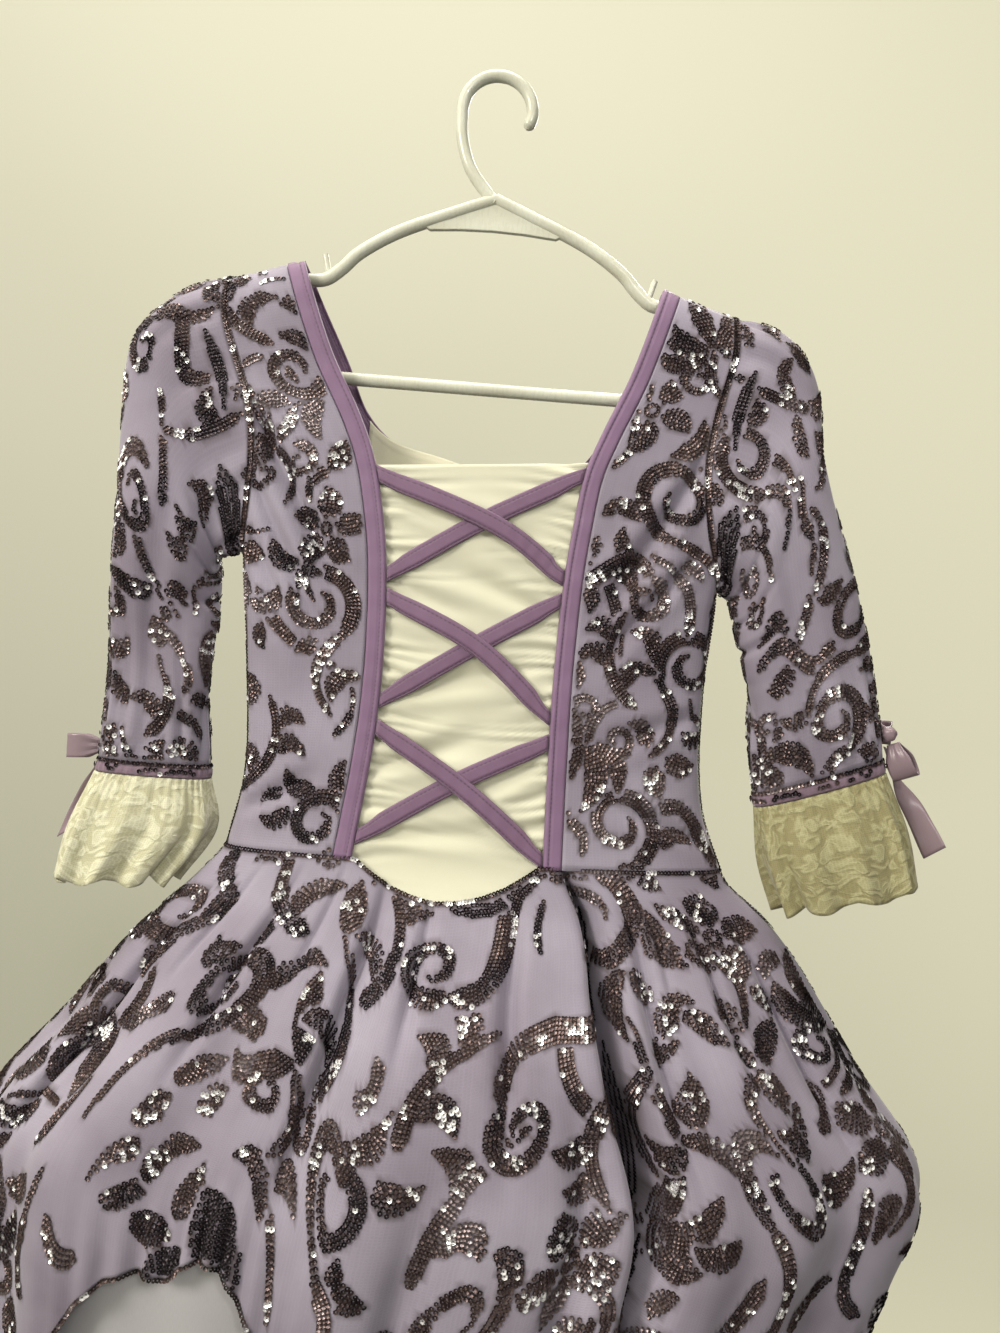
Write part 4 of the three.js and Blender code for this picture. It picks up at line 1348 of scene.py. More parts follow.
@dataclass
class Embroidery:
    """Sequins sewn over a cloth in scrolls, leaves and flowers, and in a line along its hems.

    Sizes are in millimetres. Rows of motifs stand spacing apart, scale enlarges every motif, each patch is a plain
    band (across, along, length, rows, angle) of sequins all in the darkest tone, and tries says how many fillers are
    tried for each motif.
    """

    cloth: Cloth
    outward: int
    seed: int
    edges: tuple[str, ...] = ()
    spacing: float = 54.0
    tries: int = 9
    scale: float = 1.0
    patches: tuple = ()
    wraps: bool = False
    steps: tuple[int, int] = (240, 200)
    pitch: float = 2.0
    row: float = 2.15
    clear: float = 3.6
    margin: float = 1.8
    lift: float = 1.15
    overlap: float = 0.16
    tilt: float = 0.07
    radius: float = 1.36
    glint_size: float = 1.14
    # How dark the cloth is painted near the sequins, for their stitching and the shade under them.
    thread: float = 0.75

    def band(self, stroke: Stroke, size: float) -> Array:
        """The sequins of one stroke, in rows side by side.

        Args:
            stroke: the stroke.
            size: its motif's size.

        Returns:
            The sequins' places.
        """
        line = stroke.line * size
        place = run_of(line)
        count = max(2, int(place[-1] / self.pitch) + 1)
        at = np.linspace(0, place[-1], count)
        points = np.stack([np.interp(at, place, line[:, k]) for k in (0, 1)], axis=1)
        tangent = unit(np.gradient(points, axis=0))
        across = np.stack([-tangent[:, 1], tangent[:, 0]], axis=1)
        wide = np.maximum(1, np.round(stroke.rows * self.scale * stroke.taper.width(at / place[-1])))
        rows = []
        for k in range(int(wide.max())):
            off = (k - (wide - 1) / 2) * self.row
            rows.append((points + across * off[:, None])[k < wide])
        return np.concatenate(rows)

    def anchors(self, lattice: Lattice, rng: np.random.Generator) -> list[list[tuple[float, float]]]:
        """Places for the motifs, in rows that are set off from each other.

        Args:
            lattice: the panel.
            rng: gives the jitter.

        Returns:
            The places across and along in each row.
        """
        rows = max(2, round(float(lattice.per_v.mean()) / (self.spacing * self.scale * 0.9)))
        places = []
        for row in range(rows):
            v = (row + 0.5) / rows
            line = lattice.round[int(v * lattice.along)]
            count = max(1, round(line[-1] / (self.spacing * self.scale)))
            jitter = rng.uniform(-0.1, 0.1, (count, 2))
            across = (np.arange(count) + 0.5 + 0.25 * (-1) ** row + jitter[:, 0]) / count
            across = np.interp(across * line[-1], line, lattice.u)
            places.append([(float(u), v + jitter[k, 1] / rows) for k, u in enumerate(across)])
        return places

    def laid(
        self, lattice: Lattice, motif: Motif, at: tuple[float, float], size: float = 1.0, angle: float = 0.0,
        mirror: int = 1,
    ) -> list[Array]:
        """One motif laid on the panel.

        Args:
            lattice: the panel.
            motif: the motif's bands.
            at: the place of its middle.
            size: its size.
            angle: its turn, in degrees.
            mirror: 1, or -1 to mirror it.

        Returns:
            For each band, the places of its sequins across and along.
        """
        c, s = polar(1, angle)
        turn = np.array([[c, s], [-s, c]])
        bands = [(self.band(stroke, size) * (mirror, 1)) @ turn for stroke in motif]
        placed_at = lattice.step(at, np.concatenate(bands), self.wraps)
        return np.split(placed_at, np.cumsum([len(band) for band in bands])[:-1])

    def design(self, lattice: Lattice) -> list[tuple[list[Array], float]]:
        """Every motif's bands: the hem lines first, then the patches, the scrolls, the vines and the fillers.

        Args:
            lattice: the panel.

        Returns:
            Each motif's bands, with the share of a band that has to fit for it to be sewn on.
        """
        rng = np.random.default_rng(self.seed)
        found: list[tuple[list[Array], float]] = [([self.hemmed(lattice)], 0.0)]
        for u, v, long, rows, angle in self.patches:
            blot = (Stroke(bowed(long, 2.0) - (long / 2, 0), rows),)
            found.append((self.laid(lattice, blot, (u, v), angle=angle), 0.0))
        rows = self.anchors(lattice, rng)
        number = self.seed
        for at in (place for row in rows for place in row):
            motif, size = MOTIFS[number * 3 % len(MOTIFS)]
            angle = rng.uniform(-40, 40) + (180 if number % 4 == 3 else 0)
            size = size * self.scale * rng.uniform(0.92, 1.1)
            found.append((self.laid(lattice, motif, at, size, angle, 1 if number % 2 else -1), 0.58))
            number += 1
        for row, below in zip(rows, rows[1:]):
            for u, v in row:
                to_u, to_v = min(below, key=lambda place: abs(place[0] - u))
                middle = ((u + to_u) / 2, (v + to_v) / 2)
                here = np.array([middle[0]]), np.array([middle[1]])
                long = (to_v - v) * float(lattice.look(lattice.per_v, *here)[0])
                lean = (to_u - u) * float(lattice.look(lattice.per_u, *here)[0])
                vine = bowed(math.hypot(long, lean), rng.uniform(-14, 14), math.degrees(math.atan2(-long, lean)))
                vine = Stroke(vine - vine.mean(axis=0), 2.8, Taper.EVEN)
                found.append((self.laid(lattice, (vine,), middle), 0.35))
        tries = self.tries * sum(map(len, rows))
        for k in range(tries):
            at = ((0.5 + k * 0.7549) % 1, (0.5 + k * 0.5698) % 1)
            motif, size = FILLERS[min(k * len(FILLERS) // tries, len(FILLERS) - 1)]
            found.append((self.laid(lattice, motif, at, size * self.scale, rng.uniform(0, 360)), 0.85))
        return found

    def hemmed(self, lattice: Lattice) -> Array:
        """The sequins in a line along each edge that has one.

        Args:
            lattice: the panel.

        Returns:
            Their places across and along.
        """
        rows = [np.zeros((0, 2))]
        t = np.linspace(0, 1, 900)
        lines = {"first": (t * 0, t), "last": (t * 0 + 1, t), "top": (t, t * 0), "bottom": (t, t * 0 + 1)}
        for u, v in (lines[edge] for edge in self.edges):
            place = run_of(lattice.look(lattice.points, u, v))
            at = np.arange(1.0, place[-1], self.pitch)
            rows.append(np.stack([np.interp(at, place, u), np.interp(at, place, v)], axis=1))
        return np.concatenate(rows)

    def spread(self, lattice: Lattice, motifs: list[tuple[list[Array], float]]) -> tuple[Array, Array, Array]:
        """Leaves out sequins that are off the panel, or too near ones already sewn on, and cut-up bands.

        Args:
            lattice: the panel.
            motifs: each motif's bands, the most important first.

        Returns:
            The places across and along of those that stay, and the number of each one's motif.
        """
        bands = [(number, share, band) for number, (group, share) in enumerate(motifs) for band in group]
        lengths = [len(band) for _, _, band in bands]
        u, v = np.concatenate([band for _, _, band in bands]).T
        owner = np.repeat([number for number, _, _ in bands], lengths)
        strip = np.repeat(np.arange(len(bands)), lengths)
        inside = (u >= 0) & (u <= 1) & (v >= 0) & (v <= 1)
        from_side = np.minimum(u, 1 - u) * lattice.look(lattice.per_u, u, v)
        from_end = np.minimum(v, 1 - v) * lattice.look(lattice.per_v, u, v)
        kept = inside & (from_end > self.margin) & ((from_side > self.margin) | self.wraps)
        kept |= owner == 0
        u, v, owner, strip = u[kept], v[kept], owner[kept], strip[kept]
        points = lattice.look(lattice.points, u, v)
        tree = tree_of(points)
        sewn = np.zeros(len(points), bool)
        close = self.pitch * 0.8
        starts = np.flatnonzero(np.diff(strip, prepend=-1))
        for first, last in zip(starts, [*starts[1:], len(points)]):
            for k in range(first, last):
                sewn[k] = not any(
                    sewn[other] and (far < close or (owner[other] != owner[k] and owner[other] > 0))
                    for _, other, far in tree.find_range(points[k], self.clear)
                )
            if sewn[first:last].mean() < bands[strip[first]][1]:
                sewn[first:last] = False
        return u[sewn], v[sewn], owner[sewn]

    def sew(self, foil: Finish, piece: Piece) -> None:
        """Sews the sequins on as one joined mesh, and paints the colour of their stitching and their shade on the cloth
        under them.

        Args:
            foil: their finish.
            piece: the cloth's own piece.
        """
        lattice = Lattice(self.cloth.surface, self.steps, self.outward)
        u, v, owner = self.spread(lattice, self.design(lattice))
        rng = np.random.default_rng(self.seed + 100)
        normal = unit(lattice.look(lattice.normals, u, v))
        points = lattice.look(lattice.points, u, v) + normal * self.lift
        onward = np.diff(points, axis=0, append=points[-1:])
        far = np.linalg.norm(onward, axis=1, keepdims=True)
        onward = np.where((far > 0.1) & (far < self.pitch * 1.6), onward / np.maximum(far, 0.1), 0)
        facing = unit(normal - onward * self.overlap + rng.normal(0, self.tilt, (len(u), 3)))
        turns = np.array([Vector(way).to_track_quat("Z", "Y").to_euler()[:] for way in facing])
        sizes = rng.uniform(0.94, 1.06, len(u))
        wide = np.array([noise.noise(point * 0.028) for point in map(Vector, points)])
        small = np.array([noise.noise(point * 0.075 + Vector((7, 0, 0))) for point in map(Vector, points)])
        cast = 0.34 + 0.5 * wide + rng.uniform(-0.13, 0.13, len(u))
        # Clusters of sequins, and a few alone, are coloured near-white and made larger: painted glints.
        glint = (small > 0.26) & (rng.uniform(0, 1, len(u)) < 0.34) | (rng.uniform(0, 1, len(u)) < 0.012)
        cast = np.where(glint, 1.0, np.clip(cast, 0, 0.7))
        sizes[glint] *= self.glint_size
        # The patches' sequins all take the darkest tone and no glint; in the armpits and the skirt's folds this is
        # painted shade.
        cast[(owner > 0) & (owner <= len(self.patches))] = 0.0
        self.shade(piece, points - normal * self.lift)
        name = piece.name.rsplit("_", 1)[0] + "_sequins"
        foil.dress(scatter(name, sequin(self.radius), points, turns, sizes, cast))

    def shade(self, piece: Piece, points: Array) -> None:
        """Marks how near each point of the cloth is to a sequin, for the dark stitching and the painted shade under
        them.

        Args:
            piece: the cloth's own piece.
            points: where the sequins are sewn, in millimetres.
        """
        tree = tree_of(points * MM)
        far = np.array([tree.find(vert.co)[2] for vert in piece.data.vertices]) / MM
        sewn = piece.data.attributes.new("sewn", "FLOAT", "POINT")
        sewn.data.foreach_set("value", self.thread * smooth(1.9 - far))


def sequin(radius: float) -> bpy.types.Mesh:
    """A cupped sequin with a hole in its middle.

    Args:
        radius: its radius, in millimetres.

    Returns:
        Its mesh.
    """
    bm = bmesh.new()
    bmesh.ops.create_cone(
        bm, cap_ends=False, segments=6, radius1=radius * MM, radius2=radius * 0.3 * MM, depth=0.4 * MM
    )
    bmesh.ops.scale(bm, vec=(1, 1, -1), verts=bm.verts)
    bmesh.ops.recalc_face_normals(bm, faces=bm.faces)
    if sum(face.normal.z for face in bm.faces) < 0:
        bmesh.ops.reverse_faces(bm, faces=bm.faces)
    mesh = bpy.data.meshes.new("sequin")
    bm.to_mesh(mesh)
    bm.free()
    return mesh


def scatter(name: str, shape: bpy.types.Mesh, points: Array, turns: Array, sizes: Array, cast: Array) -> Piece:
    """Copies one small shape to many places and joins the copies into one mesh.

    Args:
        name: the piece's name.
        shape: the shape, round the origin, in metres.
        points: where each copy goes, in millimetres.
        turns: each copy's Euler angles.
        sizes: each copy's scale.
        cast: each copy's tone, from 0 for dark to 1 for a painted glint.

    Returns:
        The joined piece.
    """
    template = placed(name + "_shape", shape)
    bm = bmesh.new()
    for point in points:
        bm.verts.new(Vector(point) * MM)
    piece = object_from(bm, name)
    mesh = piece.data
    for kind, key, values in (
        ("FLOAT_VECTOR", "turn", turns), ("FLOAT", "size", sizes), ("FLOAT", "cast", cast)
    ):
        member = "vector" if kind == "FLOAT_VECTOR" else "value"
        mesh.attributes.new(key, kind, "POINT").data.foreach_set(member, values.ravel())

    tree = bpy.data.node_groups.new(name, "GeometryNodeTree")
    for way in ("INPUT", "OUTPUT"):
        tree.interface.new_socket("Geometry", in_out=way, socket_type="NodeSocketGeometry")
    nodes = Nodes(tree, "")
    source = nodes.add("GeometryNodeObjectInfo", Object=template)
    place = nodes.add(
        "GeometryNodeInstanceOnPoints", Points=nodes.add("NodeGroupInput"), Instance=(source, "Geometry")
    )
    for kind, key, into in (("FLOAT_VECTOR", "turn", "Rotation"), ("FLOAT", "size", "Scale")):
        named = nodes.add("GeometryNodeInputNamedAttribute", data_type=kind, Name=key)
        nodes.join((named, "Attribute"), place, into)
    real = nodes.add("GeometryNodeRealizeInstances", Geometry=place)
    nodes.join(real, nodes.add("NodeGroupOutput"))
    piece.modifiers.new("copies", "NODES").node_group = tree
    whole = bpy.data.meshes.new_from_object(piece.evaluated_get(bpy.context.evaluated_depsgraph_get()))
    piece.modifiers.clear()
    piece.data = whole
    whole.name = name
    for attribute in ("turn", "size"):
        if attribute in whole.attributes:
            whole.attributes.remove(whole.attributes[attribute])
    bpy.data.objects.remove(template)
    bpy.data.node_groups.remove(tree)
    bpy.data.meshes.remove(mesh)
    return piece


# ---- the hanger


@dataclass
class Hanger:
    """A white moulded hanger: a tube for the shoulders and the bar, a hook, a web plate and two spurs."""

    middle: float = 3.0
    tube: float = 7.4
    hook_tube: float = 7.0
    hook_radius: float = 20.0
    hook_from: float = -28.0
    bar_z: float = -175.5
    spur_radius: float = 1.7
    web_thick: float = 3.4
    web_edge: float = 0.5
    arm: tuple = (
        (0, -67), (22, -76), (56, -91), (76, -104.5), (84, -113), (93, -120), (106, -121.8), (119, -126.5),
        (140, -139), (164, -153.5), (178, -164.5), (180.5, -171.5), (174, -175.5),
    )
    stem: tuple = ((-20, -20), (-18.6, -34), (-13, -50), (-3, -63), (3, -69))
    web: tuple = ((0, -66), (22, -75), (42, -84), (36, -87.5), (18, -86), (0, -85.5))
    spur: tuple = ((91, -118), (94.2, -106))
    finish: Moulded = Moulded()

    def tubes(self) -> Piece:
        """The round tubes, swept along their routes.

        Returns:
            The new piece.
        """
        name = "hanger_body"
        curve = bpy.data.curves.new(name, "CURVE")
        curve.dimensions = "3D"
        curve.bevel_depth = MM
        curve.bevel_resolution = 5
        curve.use_fill_caps = True
        bend = [polar(self.hook_radius, turn) for turn in np.linspace(self.hook_from, 180, 9)]
        bend = [(x, self.hook_tube / 2 - self.hook_radius + z) for x, z in bend]
        self.sweep(curve, [*bend, *self.stem], 90, self.hook_tube / 2, True)
        for sign in (1, -1):
            arm, spur = ([(self.middle + sign * x, z) for x, z in route] for route in (self.arm, self.spur))
            self.sweep(curve, arm, 110, self.tube / 2)
            self.sweep(curve, spur, 9, self.spur_radius, True)
        end = self.arm[-1][0] + 1
        self.sweep(curve, [(self.middle + x, self.bar_z) for x in (-end, end)], 40, self.tube / 2)
        body = bpy.data.objects.new(name, curve)
        mesh = bpy.data.meshes.new_from_object(body)
        mesh.name = name
        bpy.data.objects.remove(body)
        for polygon in mesh.polygons:
            polygon.use_smooth = True
        return placed(name, mesh)

    def sweep(
        self, curve: bpy.types.Curve, route: Sequence, steps: int, radius: float, round_tip: bool = False
    ) -> None:
        """Adds one tube to the curve.

        Args:
            curve: the curve.
            route: points of its route in the hanger's plane, in millimetres.
            steps: how many points the smooth route through them gets.
            radius: its radius.
            round_tip: whether its first end is rounded.
        """
        points = one_curve([(x, 0.0, z) for x, z in route], np.linspace(0, 1, steps))
        radii = np.full(len(points), radius)
        if round_tip:
            along = np.linalg.norm(points - points[0], axis=1) / radius
            near = along < 1
            radii[near] = radius * np.sqrt(1 - (1 - along[near]) ** 2)
            radii[0] = radius * 0.25
        spline = curve.splines.new("POLY")
        spline.points.add(len(points) - 1)
        for place, point, r in zip(spline.points, points, radii):
            place.co = (*(Vector(point) * MM), 1)
            place.radius = r

    def plate(self) -> Piece:
        """The thin web between the arms under the hook, its edges eased.

        Returns:
            The new piece.
        """
        bm = bmesh.new()
        outline = [(self.middle + x, z) for x, z in self.web] + [(self.middle - x, z) for x, z in self.web[-2:0:-1]]
        face = bm.faces.new([bm.verts.new((x * MM, self.web_thick / 2 * MM, z * MM)) for x, z in outline])
        grown = bmesh.ops.extrude_face_region(bm, geom=[face])["geom"]
        moved = [item for item in grown if isinstance(item, bmesh.types.BMVert)]
        bmesh.ops.translate(bm, vec=(0, -self.web_thick * MM, 0), verts=moved)
        bmesh.ops.bevel(
            bm, geom=bm.edges[:], offset=self.web_edge * MM, affect="EDGES", segments=2, profile=0.5, material=-1
        )
        bmesh.ops.recalc_face_normals(bm, faces=bm.faces)
        return object_from(bm, "hanger_web", False)

    def build(self) -> None:
        """Builds and dresses the hanger."""
        plastic = Finish(self.finish.make(), "hanger_plastic")
        plastic.dress(self.tubes(), "hanger")
        plastic.dress(self.plate())


# ---- the bodice


@dataclass(frozen=True)
class Strap:
    """A strap: its name, the heights of its ends and a point between them, where it crosses another and whether it
    lies over it."""

    name: str
    start: float
    middle: tuple[float, float]
    end: float
    cross_x: float
    over: bool


@dataclass
class Bodice:
    """The fitted top: two sequinned fronts, the stomacher and its straps, the bindings and the back."""

    panel: float = 1.5
    binding: float = 2.4
    binding_width: float = 10.0
    tape_wall: float = 0.8
    groove: float = 0.5
    groove_width: float = 0.05
    stomacher: float = 1.2
    underlap: float = 3.0
    strap: float = 1.4
    strap_width: float = 10.0
    strap_gap: float = 0.6
    strap_wall: float = 0.7
    hump: float = 34.0
    lining: float = 1.2
    lining_wall: float = 0.9
    lining_span: tuple[float, float] = (-60.0, 61.0)
    lining_deep: float = 30.0
    shoulder_share: float = 0.09
    top_z: float = -220.5
    top_middle: float = 6.0
    top_rise: float = 0.09
    shirr_pitch: float = 7.0
    shirr_depth: float = 1.25
    shirr_reach: float = 19.0
    shirr_most: float = 1.3
    shirr_drags: tuple = (
        Crease((-40, -243), (40, -262), 1.6, 7),
        Crease((-42, -288), (10, -306), 1.4, 6),
        Crease((50, -300), (-8, -278), 1.5, 7),
        Crease((-40, -352), (48, -330), 1.7, 8),
        Crease((-42, -395), (20, -372), 1.5, 7),
        Crease((54, -382), (4, -410), 1.5, 7),
        Crease((-36, -428), (40, -424), 1.2, 6),
    )
    straps: tuple = (
        Strap("strap_1_down", -230.5, (24, -257), -280.5, 6, True),
        Strap("strap_1_up", -286, (8, -254), -222.5, 6, False),
        Strap("strap_2_down", -298, (14, -322.5), -358.5, 13, True),
        Strap("strap_2_up", -356, (11, -322.5), -293, 13, False),
        Strap("strap_3_down", -370.5, (12, -400.5), -436, 8, True),
        Strap("strap_3_up", -431, (5, -399), -371.5, 8, False),
    )
    creases: tuple = (
        Crease((-128, -190), (-62, -300), 5.5, 8),
        Crease((-122, -232), (-70, -330), 3.1, 6),
        Crease((-118, -270), (-64, -372), 2.3, 7),
        Crease((-112, -424), (-66, -398), 2.6, 6),
        Crease((134, -205), (82, -300), 3.9, 8),
        Crease((132, -262), (78, -330), 2.6, 6),
        Crease((140, -350), (84, -372), 2.1, 7),
        Crease((150, -425), (90, -400), 2.9, 6),
    )
    back_creases: tuple = (
        Crease((-112, -235), (-50, -330), 2.0, 11),
        Crease((120, -240), (70, -335), 1.7, 11),
        Crease((10, -300), (6, -430), 1.6, 12),
        Crease((-90, -425), (-30, -395), 1.2, 8),
    )

    @property
    def under(self) -> float:
        """How far the stomacher's middle lies under the bindings' middle."""
        return self.binding / 2 + FORM.gap + self.stomacher / 2

    @property
    def clear(self) -> float:
        """How far a panel's edge is from the middle of its binding."""
        return self.binding_width / 2 + FORM.gap

    def beside_opening(self, hand: Hand, t: Array, out: Array) -> tuple[Array, Array]:
        """A place beside the middle line of a front binding, from the shoulder to the waist.

        Args:
            hand: the wearer's left or right binding.
            t: places along it, from 0 to 1.
            out: how far each place is from it, away from the opening.

        Returns:
            The places across, and their heights.
        """
        sign = hand.value
        waist = float(FORM.waist(np.array(FORM.dip_centre + sign * OPENING[-1].half)))

        def line(s: Array) -> tuple[Array, Array]:
            """Places on the middle line."""
            z = mix(FORM.shoulder_z, waist, s)
            return OPENING_CENTRE(z) + sign * OPENING_HALF(z), z

        (x, z), (x0, z0), (x1, z1) = (line(np.clip(t + step, 0, 1)) for step in (0, -1e-3, 1e-3))
        long = np.hypot(x1 - x0, z1 - z0)
        x = x - sign * (z1 - z0) / long * out
        z = z + sign * (x1 - x0) / long * out
        return x, np.maximum(z, FORM.waist(x))

    def front(self, hand: Hand) -> Surface:
        """The surface of one front, from its binding to its side seam.

        Args:
            hand: the wearer's left or right.

        Returns:
            The surface, whose places go across from the binding and down from the shoulder.
        """

        def surface(u: Array, v: Array) -> Array:
            """Places across from the binding and down from the shoulder."""
            x0, z0 = self.beside_opening(hand, v, self.clear)
            waist_z = FORM.waist(FORM.side_edge(hand, np.full_like(v, FORM.waist_level_z)))
            z1 = mix(FORM.side_top_z, waist_z, v)
            x, z = mix(x0, FORM.side_edge(hand, z1), u), mix(z0, z1, u)
            return FORM.off_bodice(x, z, Side.FRONT, pressed(self.creases, x, z) * settled(u, v, 8, 10))

        return surface

    def tape(
        self, route: Callable[[Array, Array, Array], Array], thick: float, seams: Sequence[float] = (0.33,)
    ) -> Surface:
        """A folded tape with a flat face and sewn grooves along it.

        Args:
            route: gives points for places across the tape, along it, and out of it.
            thick: the tape's full thickness.
            seams: where its grooves are across it, from 0 to 1.

        Returns:
            Its outer surface.
        """

        def surface(u: Array, v: Array) -> Array:
            """Places across and along the tape."""
            rise = thick - self.tape_wall
            crown = rise * np.sqrt(np.maximum(1 - np.abs(2 * u - 1) ** 10, 0)) - rise / 2
            groove = sum(self.groove * bell((u - seam) / self.groove_width) for seam in seams)
            soft = 0.12 * np.sin(v * 61 + 2 * u) + 0.1 * np.sin(v * 137)
            return route(u, v, crown - groove + soft)

        return surface

    def front_binding(self, hand: Hand) -> Surface:
        """The surface of one front's binding.

        Args:
            hand: the wearer's left or right.

        Returns:
            The surface.
        """

        def route(u: Array, v: Array, out: Array) -> Array:
            """Places across, along and out of the tape."""
            x, z = self.beside_opening(hand, v, (u - 0.5) * self.binding_width)
            return FORM.off_bodice(x, z, Side.FRONT, out)

        return self.tape(route, self.binding)

    def stomacher_surface(self, u: Array, v: Array) -> Array:
        """The shirred middle panel, which reaches under the bindings.

        Args:
            u: places across.
            v: places down.

        Returns:
            One point for each place.
        """
        low = float(FORM.waist(np.array(FORM.waist_middle + FORM.dip_half)))
        level = mix(self.top_z, low, v)
        half = OPENING_HALF(level) - self.underlap
        x = OPENING_CENTRE(level) + mix(-half, half, u)
        top = self.top_z + self.top_rise * (x - self.top_middle)
        z = mix(top, FORM.waist(x) + FORM.gap, v)
        from_edge = np.minimum(u, 1 - u) * 2 * half
        wander = 2.2 * np.sin(z * 0.11 + 4 * u) + 1.6 * np.sin(z * 0.31 + 1) + 4 * np.sin(u * 5 + z * 0.02)
        turn = 2 * math.pi / self.shirr_pitch
        side = np.where(u < 0.5, 0.0, 31.0)
        waves = np.sin((z + wander) * turn + side) + 0.7 * np.sin((z + wander * 0.6) * turn * 0.53 + 2 + side)
        reach = self.shirr_reach * (1 + 0.5 * np.sin(z * 0.13 + side) + 0.3 * np.sin(z * 0.37))
        gathers = self.shirr_depth * np.exp(-((from_edge / reach) ** 1.6)) * waves
        drags = 1.6 * pressed(self.shirr_drags, x, z)
        out = np.minimum(gathers + drags, self.shirr_most) - self.under - self.shirr_most
        return FORM.off_bodice(x, z, Side.FRONT, out)

    def strap_surface(self, row: Strap) -> Surface:
        """The surface of one crossed strap.

        Args:
            row: the strap.

        Returns:
            The surface.
        """
        inside = self.binding_width / 2 + 2 * FORM.gap

        def edge(sign: int, z: Array) -> Array:
            """The inner edge of a binding at a height."""
            return OPENING_CENTRE(z) + sign * (OPENING_HALF(z) - inside)

        first, last = (float(edge(sign, np.array(float(z)))) for sign, z in ((-1, row.start), (1, row.end)))
        ends = [(first, 0, row.start), (row.middle[0], 0, row.middle[1]), (last, 0, row.end)]
        lift = self.stomacher / 2 + self.strap_gap + self.strap / 2 - self.under

        def route(u: Array, v: Array, out: Array) -> Array:
            """Places across, along and out of the strap."""
            at, along = one_curve(ends, v), way_of(lambda t: one_curve(ends, t), v, 1e-3)
            side = (u - 0.5) * self.strap_width
            z = at[:, 2] + along[:, 0] * side
            slanted = mix(edge(-1, z), edge(1, z), v)
            x = mix(slanted, at[:, 0] - along[:, 2] * side, smooth(np.minimum(v, 1 - v) * 6))
            rise = np.exp(-(((x - row.cross_x) / self.hump) ** 4)) if row.over else 0.0
            return FORM.off_bodice(x, z, Side.FRONT, lift + rise * (self.strap + FORM.gap) + out)

        return self.tape(route, self.strap + FORM.gap, (0.14, 0.86))

    def beside_neck(self, t: Array, out: Array) -> tuple[Array, Array]:
        """A place beside the back neck's binding, from the wearer's right to the left.

        Args:
            t: places along it, from 0 to 1.
            out: how far each place is below it.

        Returns:
            The places across, and their heights.
        """
        fine = one_curve([(x, 0, z) for x, z in BACK_NECK], np.linspace(0, 1, 400))
        place = run_of(fine)
        place /= place[-1]

        def at(s: Array) -> Array:
            """Points on the neckline."""
            return np.stack([np.interp(s, place, fine[:, k]) for k in (0, 2)], axis=-1)

        here, along = at(t), way_of(at, t, 6e-3)
        return here[:, 0] + along[:, 1] * out, here[:, 1] - along[:, 0] * out

    def back_surface(self, u: Array, v: Array) -> Array:
        """The back panel, below its neckline: its four edges, blended across and down.

        Args:
            u: places across, from the wearer's right.
            v: places down.

        Returns:
            One point for each place.
        """
        share, top = self.shoulder_share, FORM.side_top_z
        neck_x, neck_z = self.beside_neck(np.clip((u - share) / (1 - 2 * share), 0, 1), self.clear)
        top_edge, low_edge = (
            {hand: float(FORM.side_edge(hand, np.array(z))) for hand in Hand} for z in (top, FORM.waist_level_z)
        )
        corner_x = np.where(u < 0.5, top_edge[Hand.RIGHT], top_edge[Hand.LEFT])
        s = np.clip(np.minimum(u, 1 - u) / share, 0, 1)
        top_x, top_z = mix(corner_x, neck_x, s), mix(top, neck_z, s)
        low_x = mix(low_edge[Hand.RIGHT], low_edge[Hand.LEFT], (1 - np.cos(u * math.pi)) / 2)
        sides = []
        for hand in (Hand.RIGHT, Hand.LEFT):
            z = mix(top, FORM.level_waist(low_edge[hand]), v)
            sides.append((FORM.side_edge(hand, z), z))
        across_x, across_z = (mix(right, left, u) for right, left in zip(*sides))
        upper_x, lower_x = (mix(edge[Hand.RIGHT], edge[Hand.LEFT], u) for edge in (top_edge, low_edge))
        x = mix(top_x, low_x, v) + across_x - mix(upper_x, lower_x, v)
        z = mix(top_z, FORM.level_waist(low_x), v) + across_z - mix(top, FORM.level_waist(lower_x), v)
        return FORM.off_bodice(x, z, Side.BACK, pressed(self.back_creases, x, z) * settled(u, v, 14, 10))

    def neck_binding(self) -> Surface:
        """The surface of the binding round the back of the neck.

        Returns:
            The surface.
        """

        def route(u: Array, v: Array, out: Array) -> Array:
            """Places across, along and out of the tape."""
            x, z = self.beside_neck(v, (u - 0.5) * self.binding_width)
            return FORM.off_bodice(x, z, Side.BACK, out)

        return self.tape(route, self.binding)

    def lining_surface(self, u: Array, v: Array) -> Array:
        """The strip of lining that shows inside the back of the neck, its top edge turned and sewn.

        Args:
            u: places across.
            v: places down.

        Returns:
            One point for each place.
        """
        t = np.linspace(0, 1, 500)
        neck_x, neck_z = self.beside_neck(t, np.zeros_like(t))
        x = mix(*self.lining_span, u)
        top = np.interp(x, neck_x, neck_z) + self.binding_width / 2 + 0.8
        seam = 0.5 * bell((v - 0.12) / 0.03) + 0.4 * bell((x + 50) / 1.2)
        inward = (self.binding + self.lining) / 2 + 2 * FORM.gap
        soft = 0.5 * np.sin(x * 0.09) * v
        return FORM.off_bodice(x, top - self.lining_deep * v, Side.BACK, -inward - seam * 0.6 + soft)

